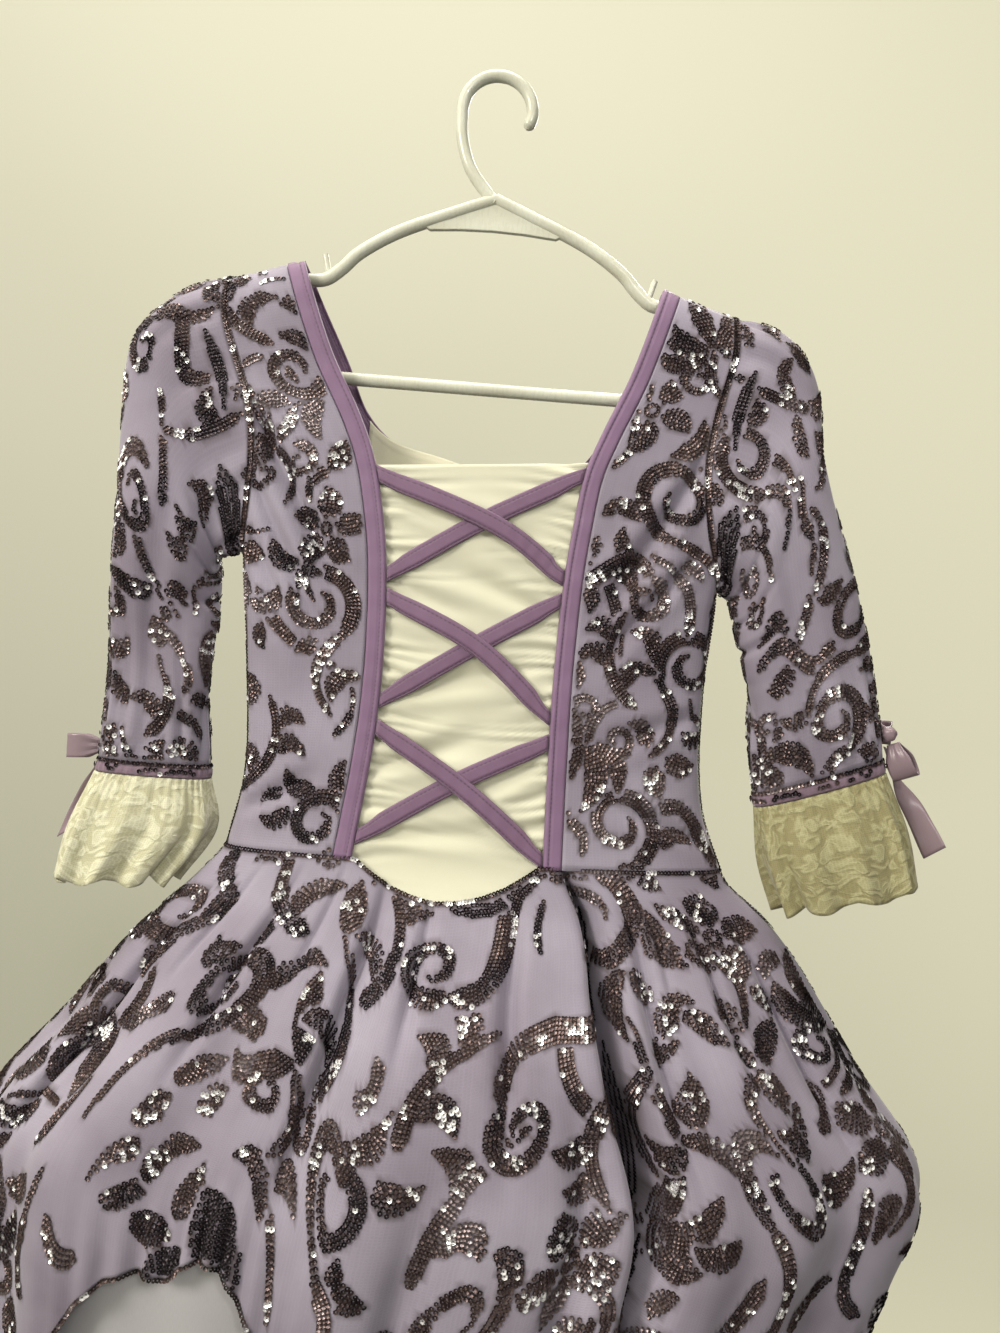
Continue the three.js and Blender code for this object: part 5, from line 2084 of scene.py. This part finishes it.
    def build(self, finishes: Finishes) -> None:
        """Builds and dresses the bodice.

        Args:
            finishes: the finishes by name.
        """
        net, foil, tape = finishes["net"], finishes["foil"], finishes["tape"]
        for hand in Hand:
            word = hand.word
            cloth = Cloth(f"front_{word}_cloth", self.front(hand), (38, 84), self.panel, "hung")
            piece = cloth.sew(net, f"front_{word}")
            Embroidery(cloth, -hand.value, 11 + hand.value, ("last",), 50, 6).sew(foil, piece)
            binding = Cloth(f"binding_{word}_tape", self.front_binding(hand), (14, 120), self.tape_wall, "stretched")
            binding.sew(tape, f"binding_front_{word}")
        middle = Cloth("stomacher_cloth", self.stomacher_surface, (56, 144), self.stomacher, "gathered")
        middle.sew(finishes["knit"], "stomacher")
        for row in self.straps:
            strap = Cloth(f"{row.name}_tape", self.strap_surface(row), (14, 48), self.strap_wall, "stretched")
            strap.sew(finishes["strap"], row.name)
        back = Cloth("back_cloth", self.back_surface, (90, 70), self.panel, "hung")
        Embroidery(back, 1, 31, ("first", "last")).sew(foil, back.sew(net, "back"))
        neck = Cloth("binding_neck_tape", self.neck_binding(), (14, 110), self.tape_wall, "stretched")
        neck.sew(tape, "binding_back_neck")
        lining = Cloth("back_lining_cloth", self.lining_surface, (50, 24), self.lining_wall, "hung")
        lining.sew(finishes["lining"], "back_lining")


# ---- sleeves, cuffs and lace


@dataclass(frozen=True)
class Loop:
    """A level loop of a sleeve: where its outer and inner points are and half its depth."""

    out_x: float
    out_z: float
    in_x: float
    in_z: float
    depth: float

    def at(self, turn: Array, square: float) -> Array:
        """Points on the loop.

        Args:
            turn: places round it: 0 is its outermost point, a quarter turn is its front.
            square: how square it is; 2 is an ellipse.

        Returns:
            One point for each place.
        """
        angle = turn * 2 * math.pi
        c, s = (signed_power(part(angle), 2 / square) for part in (np.cos, np.sin))
        t = (1 + c) / 2
        return xyz(mix(self.in_x, self.out_x, t), -self.depth * s, mix(self.in_z, self.out_z, t))

    def towards(self, other: "Loop", distance: float) -> "Loop":
        """The loop moved towards another.

        Args:
            other: the other loop.
            distance: how far it moves along its outer side.

        Returns:
            The new loop.
        """
        t = distance / math.hypot(other.out_x - self.out_x, other.out_z - self.out_z)
        return Loop(*(mix(a, b, t) for a, b in zip(astuple(self), astuple(other))))


@dataclass
class Sleeve:
    """One short puffed sleeve with its cuff band and its gathered lace frill."""

    hand: Hand
    loops: tuple[Loop, ...]
    cuff: Loop
    frill: tuple[Loop, ...]
    panel: float = 1.5
    cuff_wall: float = 1.8
    cuff_face: float = 0.6
    lace_wall: float = 0.7
    seam: float = 0.6
    square: float = 2.4
    armhole_gap: float = 1.4
    waves: int = 10
    wave_depth: float = 4.0
    scallops: int = 8
    scallop_drop: float = 4.0
    puff: float = 2.2

    @property
    def outward(self) -> int:
        """The sign that turns the surface's own normal outwards."""
        return self.hand.value

    def armhole(self, turn: Array) -> Array:
        """The sleeve's top edge, just outside the armhole.

        Args:
            turn: places round it, as on a loop.

        Returns:
            One point for each place.
        """
        angle = turn * 2 * math.pi
        z = mix(FORM.armpit_z, FORM.side_top_z, (1 + np.cos(angle)) / 2)
        edge = FORM.side_edge(self.hand, z)
        front, back = (FORM.bodice(edge, z, side)[:, 1] for side in (Side.FRONT, Side.BACK))
        return xyz(edge + self.hand.value * self.armhole_gap, np.where(np.sin(angle) >= 0, front, back), z)

    def surface(self, u: Array, v: Array) -> Array:
        """The smooth sleeve.

        Args:
            u: places round it, from its outer side by the front.
            v: places down from the armhole.

        Returns:
            One point for each place.
        """
        u = np.mod(u, 1.0)
        return through(np.stack([self.armhole(u), *(loop.at(u, self.square) for loop in self.loops)]), v)

    def creased(self, u: Array, v: Array) -> Array:
        """The sleeve with its soft gathers, its tucks and its drag folds.

        Args:
            u: places round it.
            v: places down it.

        Returns:
            One point for each place.
        """
        turn = u * 2 * math.pi
        crown = bell(v / 0.16) * (1.3 * np.sin(turn * 13 + 1.1) + 0.6 * np.sin(turn * 23))
        hem = bell((1 - v) / 0.2) * (1.1 * np.sin(turn * 11) + 0.6 * np.sin(turn * 19 + 2))
        drag = 2.52 * np.sin(turn * 3 + v * 9 + self.hand.value) * smooth(v * 4) * smooth((1 - v) * 4)
        full = self.puff * np.clip(np.cos(turn), 0, 1) * smooth(v / 0.08) * smooth((0.5 - v) / 0.4)
        under = smooth((-np.cos(turn) - 0.1) / 0.7)
        tuck = -3.5 * under * (np.sin(turn) + 1) * bell((v - 0.2) / 0.13)
        cross = -2.2 * under * np.maximum(np.sin(v * 40 + turn * 2), 0) ** 2 * smooth((0.75 - v) / 0.2)
        long = -2.4 * bell((turn - 1.9 + 0.5 * v) / 0.15) * smooth((v - 0.26) * 6) * smooth((0.9 - v) * 6)
        out = (crown + hem + drag + full + tuck + cross + long) * smooth(np.minimum(v, 1 - v) * 30)
        normal = normals_of(self.surface, u, np.clip(v, 0.004, 0.996)) * self.outward
        return self.surface(u, v) + normal * out[:, None]

    def tube(self, *loops: Loop) -> Surface:
        """A smooth tube through loops."""
        return lambda u, v: through(np.stack([loop.at(np.mod(u, 1.0), self.square) for loop in loops]), v)

    def band(self, u: Array, v: Array) -> Array:
        """The cuff band at the sleeve's end, with a rolled face.

        Args:
            u: places round it.
            v: places down it.

        Returns:
            One point for each place.
        """
        tube = self.tube(self.loops[-1].towards(self.cuff, self.seam), self.cuff)
        normal = normals_of(tube, u, np.full_like(v, 0.5)) * self.outward
        roll = (0.5 + 0.35 * np.sin(u * 2 * math.pi * 34)) * np.sin(v * math.pi)
        return tube(u, v) + normal * roll[:, None]

    def lace(self, u: Array, v: Array) -> Array:
        """The gathered frill, which waves more towards its scalloped edge.

        Args:
            u: places round it.
            v: places down it.

        Returns:
            One point for each place.
        """
        tube = self.tube(self.cuff.towards(self.frill[0], self.seam), *self.frill)
        turn = u * 2 * math.pi
        normal = normals_of(tube, u, np.clip(v, 0.01, 0.99)) * self.outward
        wave = self.wave_depth * v * (0.8 * np.sin(turn * self.waves) + 0.3 * np.sin(turn * 17 + 1.3))
        fine = 0.5 * (1 - v) ** 2 * np.sin(turn * 43)
        point = tube(u, v) + normal * (wave + fine)[:, None]
        point[:, 2] -= self.scallop_drop * v * np.abs(np.sin(turn * self.scallops / 2))
        return point

    def build(self, finishes: Finishes) -> None:
        """Builds and dresses the sleeve, its cuff and its frill.

        Args:
            finishes: the finishes by name.
        """
        word, foil = self.hand.word, finishes["foil"]
        cloth = Cloth(f"sleeve_{word}_cloth", self.creased, (88, 72), self.panel, "hung", closed=True)
        sequins = Embroidery(
            cloth, self.outward, 51 + self.hand.value, ("top",), 46, 13, wraps=True,
            # The two patches lie in the armpit, where their darkest sequins paint its shade.
            patches=((0.41, 0.08, 76.0, 5.0, 0), (0.2, 0.05, 44.0, 3.0, 0)),
        )
        sequins.sew(foil, cloth.sew(finishes["net"], f"sleeve_{word}"))
        wall = self.cuff_wall - self.cuff_face
        cuff = Cloth(f"cuff_{word}_tape", self.band, (150, 6), wall, "gathered", closed=True)
        sequins = Embroidery(
            cuff, self.outward, 71 + self.hand.value, ("top",), 400, wraps=True, steps=(200, 12),
            patches=((0.16, 0.5, 9, 3, 20), (0.34, 0.6, 14, 2, 0), (0.62, 0.5, 12, 3, 0), (0.88, 0.4, 9, 2, 0)),
        )
        sequins.sew(foil, cuff.sew(finishes["cuff"], f"cuff_{word}"))
        lace = Cloth(f"lace_{word}_net", self.lace, (200, 30), self.lace_wall, "gathered", closed=True)
        lace.sew(finishes[f"lace_{word}"], f"lace_{word}")


LEFT_SLEEVE = Sleeve(
    Hand.LEFT,
    (
        Loop(176, -139, 150, -284, 15),
        Loop(194, -164, 156, -290, 17),
        Loop(201, -198, 161, -299, 18),
        Loop(209, -231, 164, -311, 18),
        Loop(219, -264, 166, -326, 17),
        Loop(229, -296, 169, -342, 16),
        Loop(239, -328, 172, -361, 15),
        Loop(247, -367, 177, -392, 14),
    ),
    Loop(249.3, -374, 178, -399.5, 14),
    (Loop(264, -407, 184, -428, 19), Loop(270, -436, 197, -455, 21)),
)
RIGHT_SLEEVE = Sleeve(
    Hand.RIGHT,
    (
        Loop(-174, -142, -131, -283, 15),
        Loop(-191, -165, -135, -288, 17),
        Loop(-196, -199, -137, -296, 18),
        Loop(-199, -233, -138.5, -308, 18),
        Loop(-198, -268, -139, -324, 17),
        Loop(-195, -304, -139, -343, 16),
        Loop(-192, -346, -137.5, -368, 15),
        Loop(-195.5, -401.5, -134, -401.5, 14),
    ),
    Loop(-197, -408.5, -133, -408.5, 14),
    (Loop(-209, -440, -129, -434, 19), Loop(-213, -469, -150, -464, 20)),
)


# ---- bows


@dataclass(frozen=True)
class Tail:
    """A hanging end of ribbon: the route of its middle, the way it faces at each end and its width."""

    points: tuple
    across: tuple
    width: float = 12.0


@dataclass
class Bow:
    """A satin bow at a sleeve's end: a knot, two open loops and two tails with slanted ends."""

    hand: Hand
    knot: tuple[float, float, float]
    loops: dict[str, tuple]
    tails: dict[str, Tail]
    wall: float = 0.6
    ribbon: float = 1.0
    ribbon_width: float = 14.0
    knot_radius: float = 4.2
    knot_length: float = 8.0
    loop_length: float = 22.0
    loop_bulge: float = 6.0
    slant: float = 5.0

    def axes(self, end: str) -> tuple[Array, Array, Array]:
        """The ways along a loop, round it and across its ribbon.

        Args:
            end: which loop.

        Returns:
            The three ways, square to each other.
        """
        along, across = (np.array(way, float) for way in self.loops[end])
        x = unit(along)
        y = unit(np.cross(across, x))
        return x, y, np.cross(x, y)

    def loop(self, end: str) -> Surface:
        """A loop: a teardrop with an open middle, as wide as the ribbon.

        Args:
            end: which loop.

        Returns:
            Its surface.
        """
        x, y, z = self.axes(end)
        start = np.array(self.knot) + x * (self.knot_radius + 0.6)
        inset = self.ribbon / 2
        tip, bulge, swell = self.loop_length - inset, self.loop_bulge - inset, self.loop_length * 0.4

        def surface(u: Array, v: Array) -> Array:
            """Places across the ribbon and round the loop."""
            half = np.where(v < 0.5, -1.0, 1.0)
            t = np.where(v < 0.5, 2 * v, 2 - 2 * v)
            px = 3 * (1 - t) ** 2 * t * swell + 3 * (1 - t) * t**2 * tip + t**3 * tip + (1 - t) ** 3 * 1.1
            py = half * (3 * (1 - t) ** 2 * t * bulge + 3 * (1 - t) * t**2 * bulge)
            pinch = 0.5 + 0.5 * smooth(px / 12)
            out = (u - 0.5) * self.ribbon_width * pinch
            ripple = 0.6 * np.sin(u * math.pi * 5 + 1) * (1 - smooth(px / 14))
            return start + px[:, None] * x + (py + ripple)[:, None] * y + out[:, None] * z

        return surface

    def tail(self, end: str) -> Surface:
        """A tail, its end cut on the slant.

        Args:
            end: which tail.

        Returns:
            Its surface.
        """
        row = self.tails[end]
        first, last = (unit(np.array(way, float)) for way in row.across)

        def surface(u: Array, v: Array) -> Array:
            """Places across the ribbon and down it."""
            out = (u - 0.5) * row.width * mix(0.5, 1.0, smooth(v * 2.5))
            way = unit(mix(first, last, v[:, None]))
            at = one_curve(row.points, v) + way * out[:, None]
            at[:, 2] += self.slant * (u - 0.5) * smooth(v * 3 - 2)
            at[:, 1] += 0.5 * np.sin(u * math.pi * 3 + v * 5) * (1 - v)
            return at

        return surface

    def knot_piece(self) -> Piece:
        """The knot: a small barrel of ribbon drawn in at its ends, with soft pleats.

        Returns:
            The new piece.
        """
        x, y, z = self.axes("front")
        bm = bmesh.new()
        bmesh.ops.create_uvsphere(bm, u_segments=28, v_segments=18, radius=1.0)
        for vert in bm.verts:
            far, high = math.hypot(vert.co.x, vert.co.y), abs(vert.co.z)
            if high < 0.999:
                pleat = 1 + 0.05 * math.sin(5 * math.atan2(vert.co.y, vert.co.x) + 3 * vert.co.z)
                full = (1 - high**3.5) ** 0.5 / max(far, 1e-6) * pleat
                vert.co.x *= full
                vert.co.y *= full
        bmesh.ops.scale(bm, vec=(self.knot_radius, self.knot_radius, self.knot_length / 2), verts=bm.verts)
        bmesh.ops.transform(bm, matrix=Matrix((x, z, y)).transposed().to_4x4(), verts=bm.verts)
        bmesh.ops.translate(bm, vec=self.knot, verts=bm.verts)
        bmesh.ops.scale(bm, vec=(MM, MM, MM), verts=bm.verts)
        bmesh.ops.recalc_face_normals(bm, faces=bm.faces)
        uv = bm.loops.layers.uv.new("cut")
        for face in bm.faces:
            for loop in face.loops:
                loop[uv].uv = (loop.vert.co.x + loop.vert.co.y, loop.vert.co.z)
        return object_from(bm, f"bow_{self.hand.word}_knot")

    def build(self, finishes: Finishes) -> None:
        """Builds and dresses the bow.

        Args:
            finishes: the finishes by name.
        """
        word, satin = self.hand.word, finishes["satin"]
        satin.dress(self.knot_piece(), f"bow_knot_{word}")
        kinds = (("loop", self.loops, self.loop, (10, 44), "folded"), ("tail", self.tails, self.tail, (8, 36), "hung"))
        for kind, ends, surface_of, faces, held in kinds:
            for end in ends:
                cloth = Cloth(f"bow_{word}_{kind}_{end}", surface_of(end), faces, self.wall, held)
                cloth.sew(satin, f"bow_{kind}_{end}_{word}")


LEFT_BOW = Bow(
    Hand.LEFT,
    (249.8, -3, -352.5),
    {
        "front": ((0.42, -0.1, -0.9), (0.72, -0.55, 0.42)),
        "back": ((0.2, 0.97, 0), (0, 0, 1)),
    },
    {
        "front": Tail(
            ((252.5, 8, -360.7), (261, 9, -380), (271, 5, -396), (282, -1, -418)),
            ((0.1, 1, 0.1), (0.75, -0.6, 0.3)),
        ),
        "back": Tail(
            ((251, 18, -360.4), (257, 24, -381), (261, 28, -399), (263, 30, -416)),
            ((0, 1, 0), (0.3, 0.9, 0)),
        ),
    },
)
RIGHT_BOW = Bow(
    Hand.RIGHT,
    (-194.8, 12.6, -396),
    {
        "front": ((-0.99, 0.05, -0.08), (-0.08, 0.1, 1)),
        "back": ((-0.1, 0.99, -0.05), (0, 0, 1)),
    },
    {
        "front": Tail(
            ((-199.4, 12.4, -404.3), (-207, 17, -419), (-214, 19, -434), (-221, 18, -450)),
            ((0.6, 0.8, 0), (0.8, -0.3, 0.1)),
            9.5,
        ),
        "back": Tail(
            ((-193.4, 27.4, -404.3), (-196, 33, -420), (-199, 36, -435), (-203, 37, -450)),
            ((0.6, 0.8, 0), (0.9, 0.4, 0)),
        ),
    },
)


# ---- the skirts


@dataclass
class Skirts:
    """The picked-up sequinned overskirt and the plain underskirt below it, each a front and a back."""

    panel: float = 1.5
    under_wall: float = 0.84
    under_hem: float = -778.0
    top_inset: float = 1.8
    full_inset: float = 12.0
    inset_over: float = 60.0
    below_waist: float = 4.0
    swell: float = 2.6
    swell_over: float = 120.0
    pleat_depth: float = 2.4
    pleat_over: float = 60.0
    grids: dict = field(default_factory=lambda: {Side.FRONT: (300, 76), Side.BACK: (200, 56)})
    # Bands of the darkest sequins that paint shade: at the front's big pick-up, at the middle of the waist and down the
    # deep fold.
    patches: tuple = (
        (0.62, 0.93, 46, 11, 62), (0.655, 0.985, 20, 8, 0), (0.5, 0.02, 30, 4, 8),
        (0.388, 0.25, 80, 3, 86), (0.381, 0.55, 96, 4, 86), (0.372, 0.86, 70, 3, 86),
    )
    shallow: tuple = (
        Fold(85, 9, 1.3, -450, -600),
        Fold(97, 8, 1.1, -446, -560),
        Fold(63, 9, 1.5, -446, -600),
        Fold(58, 6, 1.2, -448, -520),
        Fold(33, 7, 1.9, -455, -600),
        Fold(127, 8, 1.4, -450, -570),
        Fold(152, 7, 1.9, -466, -640),
        Fold(106, 10, 1.2, -445, -620),
        Fold(116, 7, 1.0, -446, -520),
        Fold(48, 7, 1.4, -450, -560),
        Fold(77, 9, 1.8, -540, -900),
        Fold(92, 7, 1.7, -590, -900),
        Fold(140, 6, 1.5, -452, -530),
        Fold(215, 6, 2.3, -455, -600),
        Fold(240, 6, 1.9, -450, -580),
        Fold(262, 7, 1.9, -448, -620),
        Fold(282, 6, 1.8, -448, -560),
        Fold(302, 6, 2.2, -450, -600),
        Fold(328, 6, 2.3, -458, -640),
    )

    def round_from(self, side: Side, u: Array) -> Array:
        """Angles on one side, from the wearer's left or right round to the other."""
        return (0.0 if side is Side.FRONT else 180.0) + 180.0 * u

    def over(self, side: Side) -> Surface:
        """The overskirt on one side.

        Args:
            side: the front or the back.

        Returns:
            Its surface.
        """

        def surface(u: Array, v: Array) -> Array:
            """Places round the ring and down from the waist."""
            angle = self.round_from(side, u)
            z = mix(FORM.skirt_top(angle), FORM.hem(angle), v)
            full = smooth((FORM.waist_level_z - z) / self.swell_over)
            swell = self.swell * np.sin(np.radians(angle) * 9 + z * 0.012) * full
            depth = FORM.folds(self.shallow, angle, z) - swell + self.gathers(angle, z)
            return FORM.off_skirt(angle, z, depth * smooth(np.minimum(u, 1 - u) * 12))

        return surface

    def gathers(self, angle: Array, z: Array) -> Array:
        """The small pleats that fan down from each place where the hem is picked up.

        Args:
            angle: the places' angles.
            z: their heights.

        Returns:
            How far in each place goes.
        """
        depth = np.zeros_like(angle)
        for row in PICK_UPS:
            turn = (angle - row.angle + 180) % 360 - 180
            above = np.clip((z - FORM.hem_z - row.lift) / self.pleat_over, 0, 1)
            pleats = np.sin(turn * 360 / row.span * math.pi / 40)
            depth += self.pleat_depth * pleats * bell(turn / (row.span * 0.5)) * (1 - above) ** 2
        return depth

    def under(self, side: Side) -> Surface:
        """The underskirt on one side.

        Args:
            side: the front or the back.

        Returns:
            Its surface.
        """

        def surface(u: Array, v: Array) -> Array:
            """Places round the ring and down from just below the waist."""
            angle = self.round_from(side, u)
            top = FORM.skirt_top(angle) - self.below_waist
            z = mix(top, self.under_hem, v)
            inset = mix(self.top_inset, self.full_inset, smooth((top - z) / self.inset_over))
            soft = 1.5 * np.sin(np.radians(angle) * 14) * smooth((-600 - z) / 100)
            swell = self.swell * smooth((FORM.waist_level_z - z) / self.swell_over)
            return FORM.off_skirt(angle, z, inset + soft + FORM.folds(self.shallow, angle, z) + swell)

        return surface

    def build(self, finishes: Finishes) -> None:
        """Builds and dresses the skirts.

        Args:
            finishes: the finishes by name.
        """
        for side in Side:
            word = side.word
            inner = f"underskirt_{word}_cloth"
            over = Cloth(f"overskirt_{word}_cloth", self.over(side), self.grids[side], self.panel, "hung")
            piece = over.sew(finishes["net"], f"overskirt_{word}", inner)
            sequins = Embroidery(
                over, 1, 91 + side.value, ("bottom", "top"), scale=1.32, patches=self.patches, steps=(480, 200)
            )
            sequins.sew(finishes["foil"], piece)
            under = Cloth(inner, self.under(side), (130, 44), self.under_wall, "hung")
            under.sew(finishes["pale"], f"underskirt_{word}")


# ---- the studio


@dataclass(frozen=True)
class Lamp:
    """A soft square lamp: where it stands and points, its side in metres, its power, its colour and its spread."""

    name: str
    at: tuple[float, float, float]
    to: tuple[float, float, float]
    size: float
    watts: float
    tint: Rgb
    spread: float = 180.0

    def build(self) -> None:
        """Puts the lamp in the scene."""
        data = bpy.data.lights.new(self.name, "AREA")
        data.size = self.size
        data.energy = self.watts
        data.color = self.tint
        data.spread = math.radians(self.spread)
        lamp = placed(self.name, data)
        lamp.location = self.at
        lamp.rotation_euler = (Vector(self.to) - Vector(self.at)).to_track_quat("-Z", "Y").to_euler()


MIDDLE = (0.0, 0.0, -0.4)
WARM = (1.0, 0.95, 0.84)
PLAIN = (1.0, 0.98, 0.94)
LAMPS = (
    Lamp("key", (-1.85, -1.5, 0.65), (-0.1, 0.0, -0.15), 0.8, 5.8, WARM, 60),
    Lamp("fill", (2.2, -1.8, 0.2), MIDDLE, 1.4, 3, PLAIN),
    Lamp("top", (0.0, -0.6, 1.9), MIDDLE, 0.6, 9, WARM),
    Lamp("spark_high", (0.5, -1.7, 0.6), (0.05, 0.0, -0.2), 0.12, 2.2, PLAIN, 90),
    Lamp("spark_low", (-0.6, -1.6, -0.9), MIDDLE, 0.12, 1.2, PLAIN),
    Lamp("rim", (0.6, 1.7, 0.9), MIDDLE, 0.8, 18, PLAIN),
    Lamp("wall_wash", (-0.4, 0.3, 2.5), (-0.3, 2.6, -1.5), 2.4, 84, WARM),
)


@dataclass
class Studio:
    """A pale round sweep, soft lamps and the camera."""

    camera_at: tuple[float, float, float] = (0.0268, -0.57, -0.332)
    roll: float = 4.62
    lens: float = 27.0
    middle_y: float = -0.4
    reach: float = 3.2
    bend: float = 1.2
    floor_z: float = -3.0
    wall_z: float = 4.0
    wall_colour: Rgb = (0.765, 0.765, 0.65)
    wall_shade: float = 0.97
    air_colour: Rgb = (0.95, 0.91, 0.73)
    world: float = 0.37
    world_lean: tuple[float, float, float] = (-0.24, 0.0, 0.24)

    def sweep(self) -> None:
        """The backdrop: a round floor that curves up into a wall on every side."""
        bm = bmesh.new()
        out, high = self.reach - self.bend, self.floor_z + self.bend
        curved = [polar(self.bend, degrees - 90) for degrees in range(10, 90, 10)]
        profile = [(0.0, self.floor_z), (out, self.floor_z), *((out + x, high + z) for x, z in curved)]
        profile += [(self.reach, high), (self.reach, self.wall_z)]
        verts = [bm.verts.new((x, self.middle_y, z)) for x, z in profile]
        edges = [bm.edges.new(pair) for pair in zip(verts, verts[1:])]
        bmesh.ops.spin(
            bm, geom=verts + edges, axis=(0, 0, 1), cent=(0, self.middle_y, 0), steps=72, angle=2 * math.pi,
            use_merge=True,
        )
        bmesh.ops.remove_doubles(bm, verts=bm.verts, dist=1e-5)
        piece = object_from(bm, "studio_sweep")
        look = Look("studio_paper")
        soft = look.noise(look.scaled("Object"), 0.8, 1.0)
        shaded = tuple(part * self.wall_shade for part in self.wall_colour)
        look.colour(look.ramp(soft, (0.2, shaded), (0.8, self.wall_colour)))
        look.set(Roughness=0.95)
        piece.data.materials.append(look.material)
        piece.visible_diffuse = piece.visible_glossy = piece.visible_shadow = False

    def air(self) -> None:
        """The light of the room: brightest from the viewer's left and from above."""
        world = bpy.data.worlds.new("studio_air")
        world.use_nodes = True
        bpy.context.scene.world = world
        nodes = Nodes(world.node_tree)
        weight = nodes.add("VectorMath", operation="DOT_PRODUCT")
        nodes.join((nodes.add("TexCoord"), "Generated"), weight)
        nodes.join(list(self.world_lean), weight, 1)
        air = world.node_tree.nodes["Background"]
        nodes.join(self.air_colour, air, "Color")
        nodes.join(nodes.math("ADD", (weight, "Value"), self.world), air, "Strength")

    def camera(self) -> None:
        """The camera, level and square to the costume apart from its roll."""
        data = bpy.data.cameras.new("camera")
        data.lens = self.lens
        data.clip_start, data.clip_end = 0.02, 40
        camera = placed("camera", data)
        (c, s), (x, y, z) = polar(1, self.roll), self.camera_at
        camera.matrix_world = Matrix(((c, -s, 0, x), (0, 0, -1, y), (s, c, 0, z), (0, 0, 0, 1)))
        bpy.context.scene.camera = camera

    def build(self) -> None:
        """Sets up the sweep, the lamps, the world and the camera."""
        bpy.context.scene.view_settings.view_transform = "Standard"
        self.sweep()
        for lamp in LAMPS:
            lamp.build()
        self.air()
        self.camera()


# ---- the costume


LOOKS = {
    "net": (LAVENDER_NET, "sequinned_net"),
    "foil": (Foil(), "sequinned_net"),
    "cuff": (CUFF_NET, "sequinned_net"),
    "tape": (BINDING_TAPE, "binding"),
    "strap": (STRAP_TAPE, "binding"),
    "knit": (CREAM_KNIT, "cream_knit"),
    "lining": (CREAM_LINING, "lining"),
    "lace_left": (LACE_IN_PAINTED_SHADE, "lace"),
    "lace_right": (Lace(), "lace"),
    "satin": (MAUVE_SATIN, "satin_ribbon"),
    "pale": (PALE_SATIN, "underskirt"),
}


def main() -> None:
    """Builds the costume in order."""
    logging.basicConfig(level=logging.INFO, format="%(name)s %(message)s")
    Studio().build()
    finishes = {name: Finish(look.make(), slot) for name, (look, slot) in LOOKS.items()}
    Hanger().build()
    for part in (Bodice(), LEFT_SLEEVE, RIGHT_SLEEVE, LEFT_BOW, RIGHT_BOW, Skirts()):
        part.build(finishes)


if __name__ == "__main__":
    main()
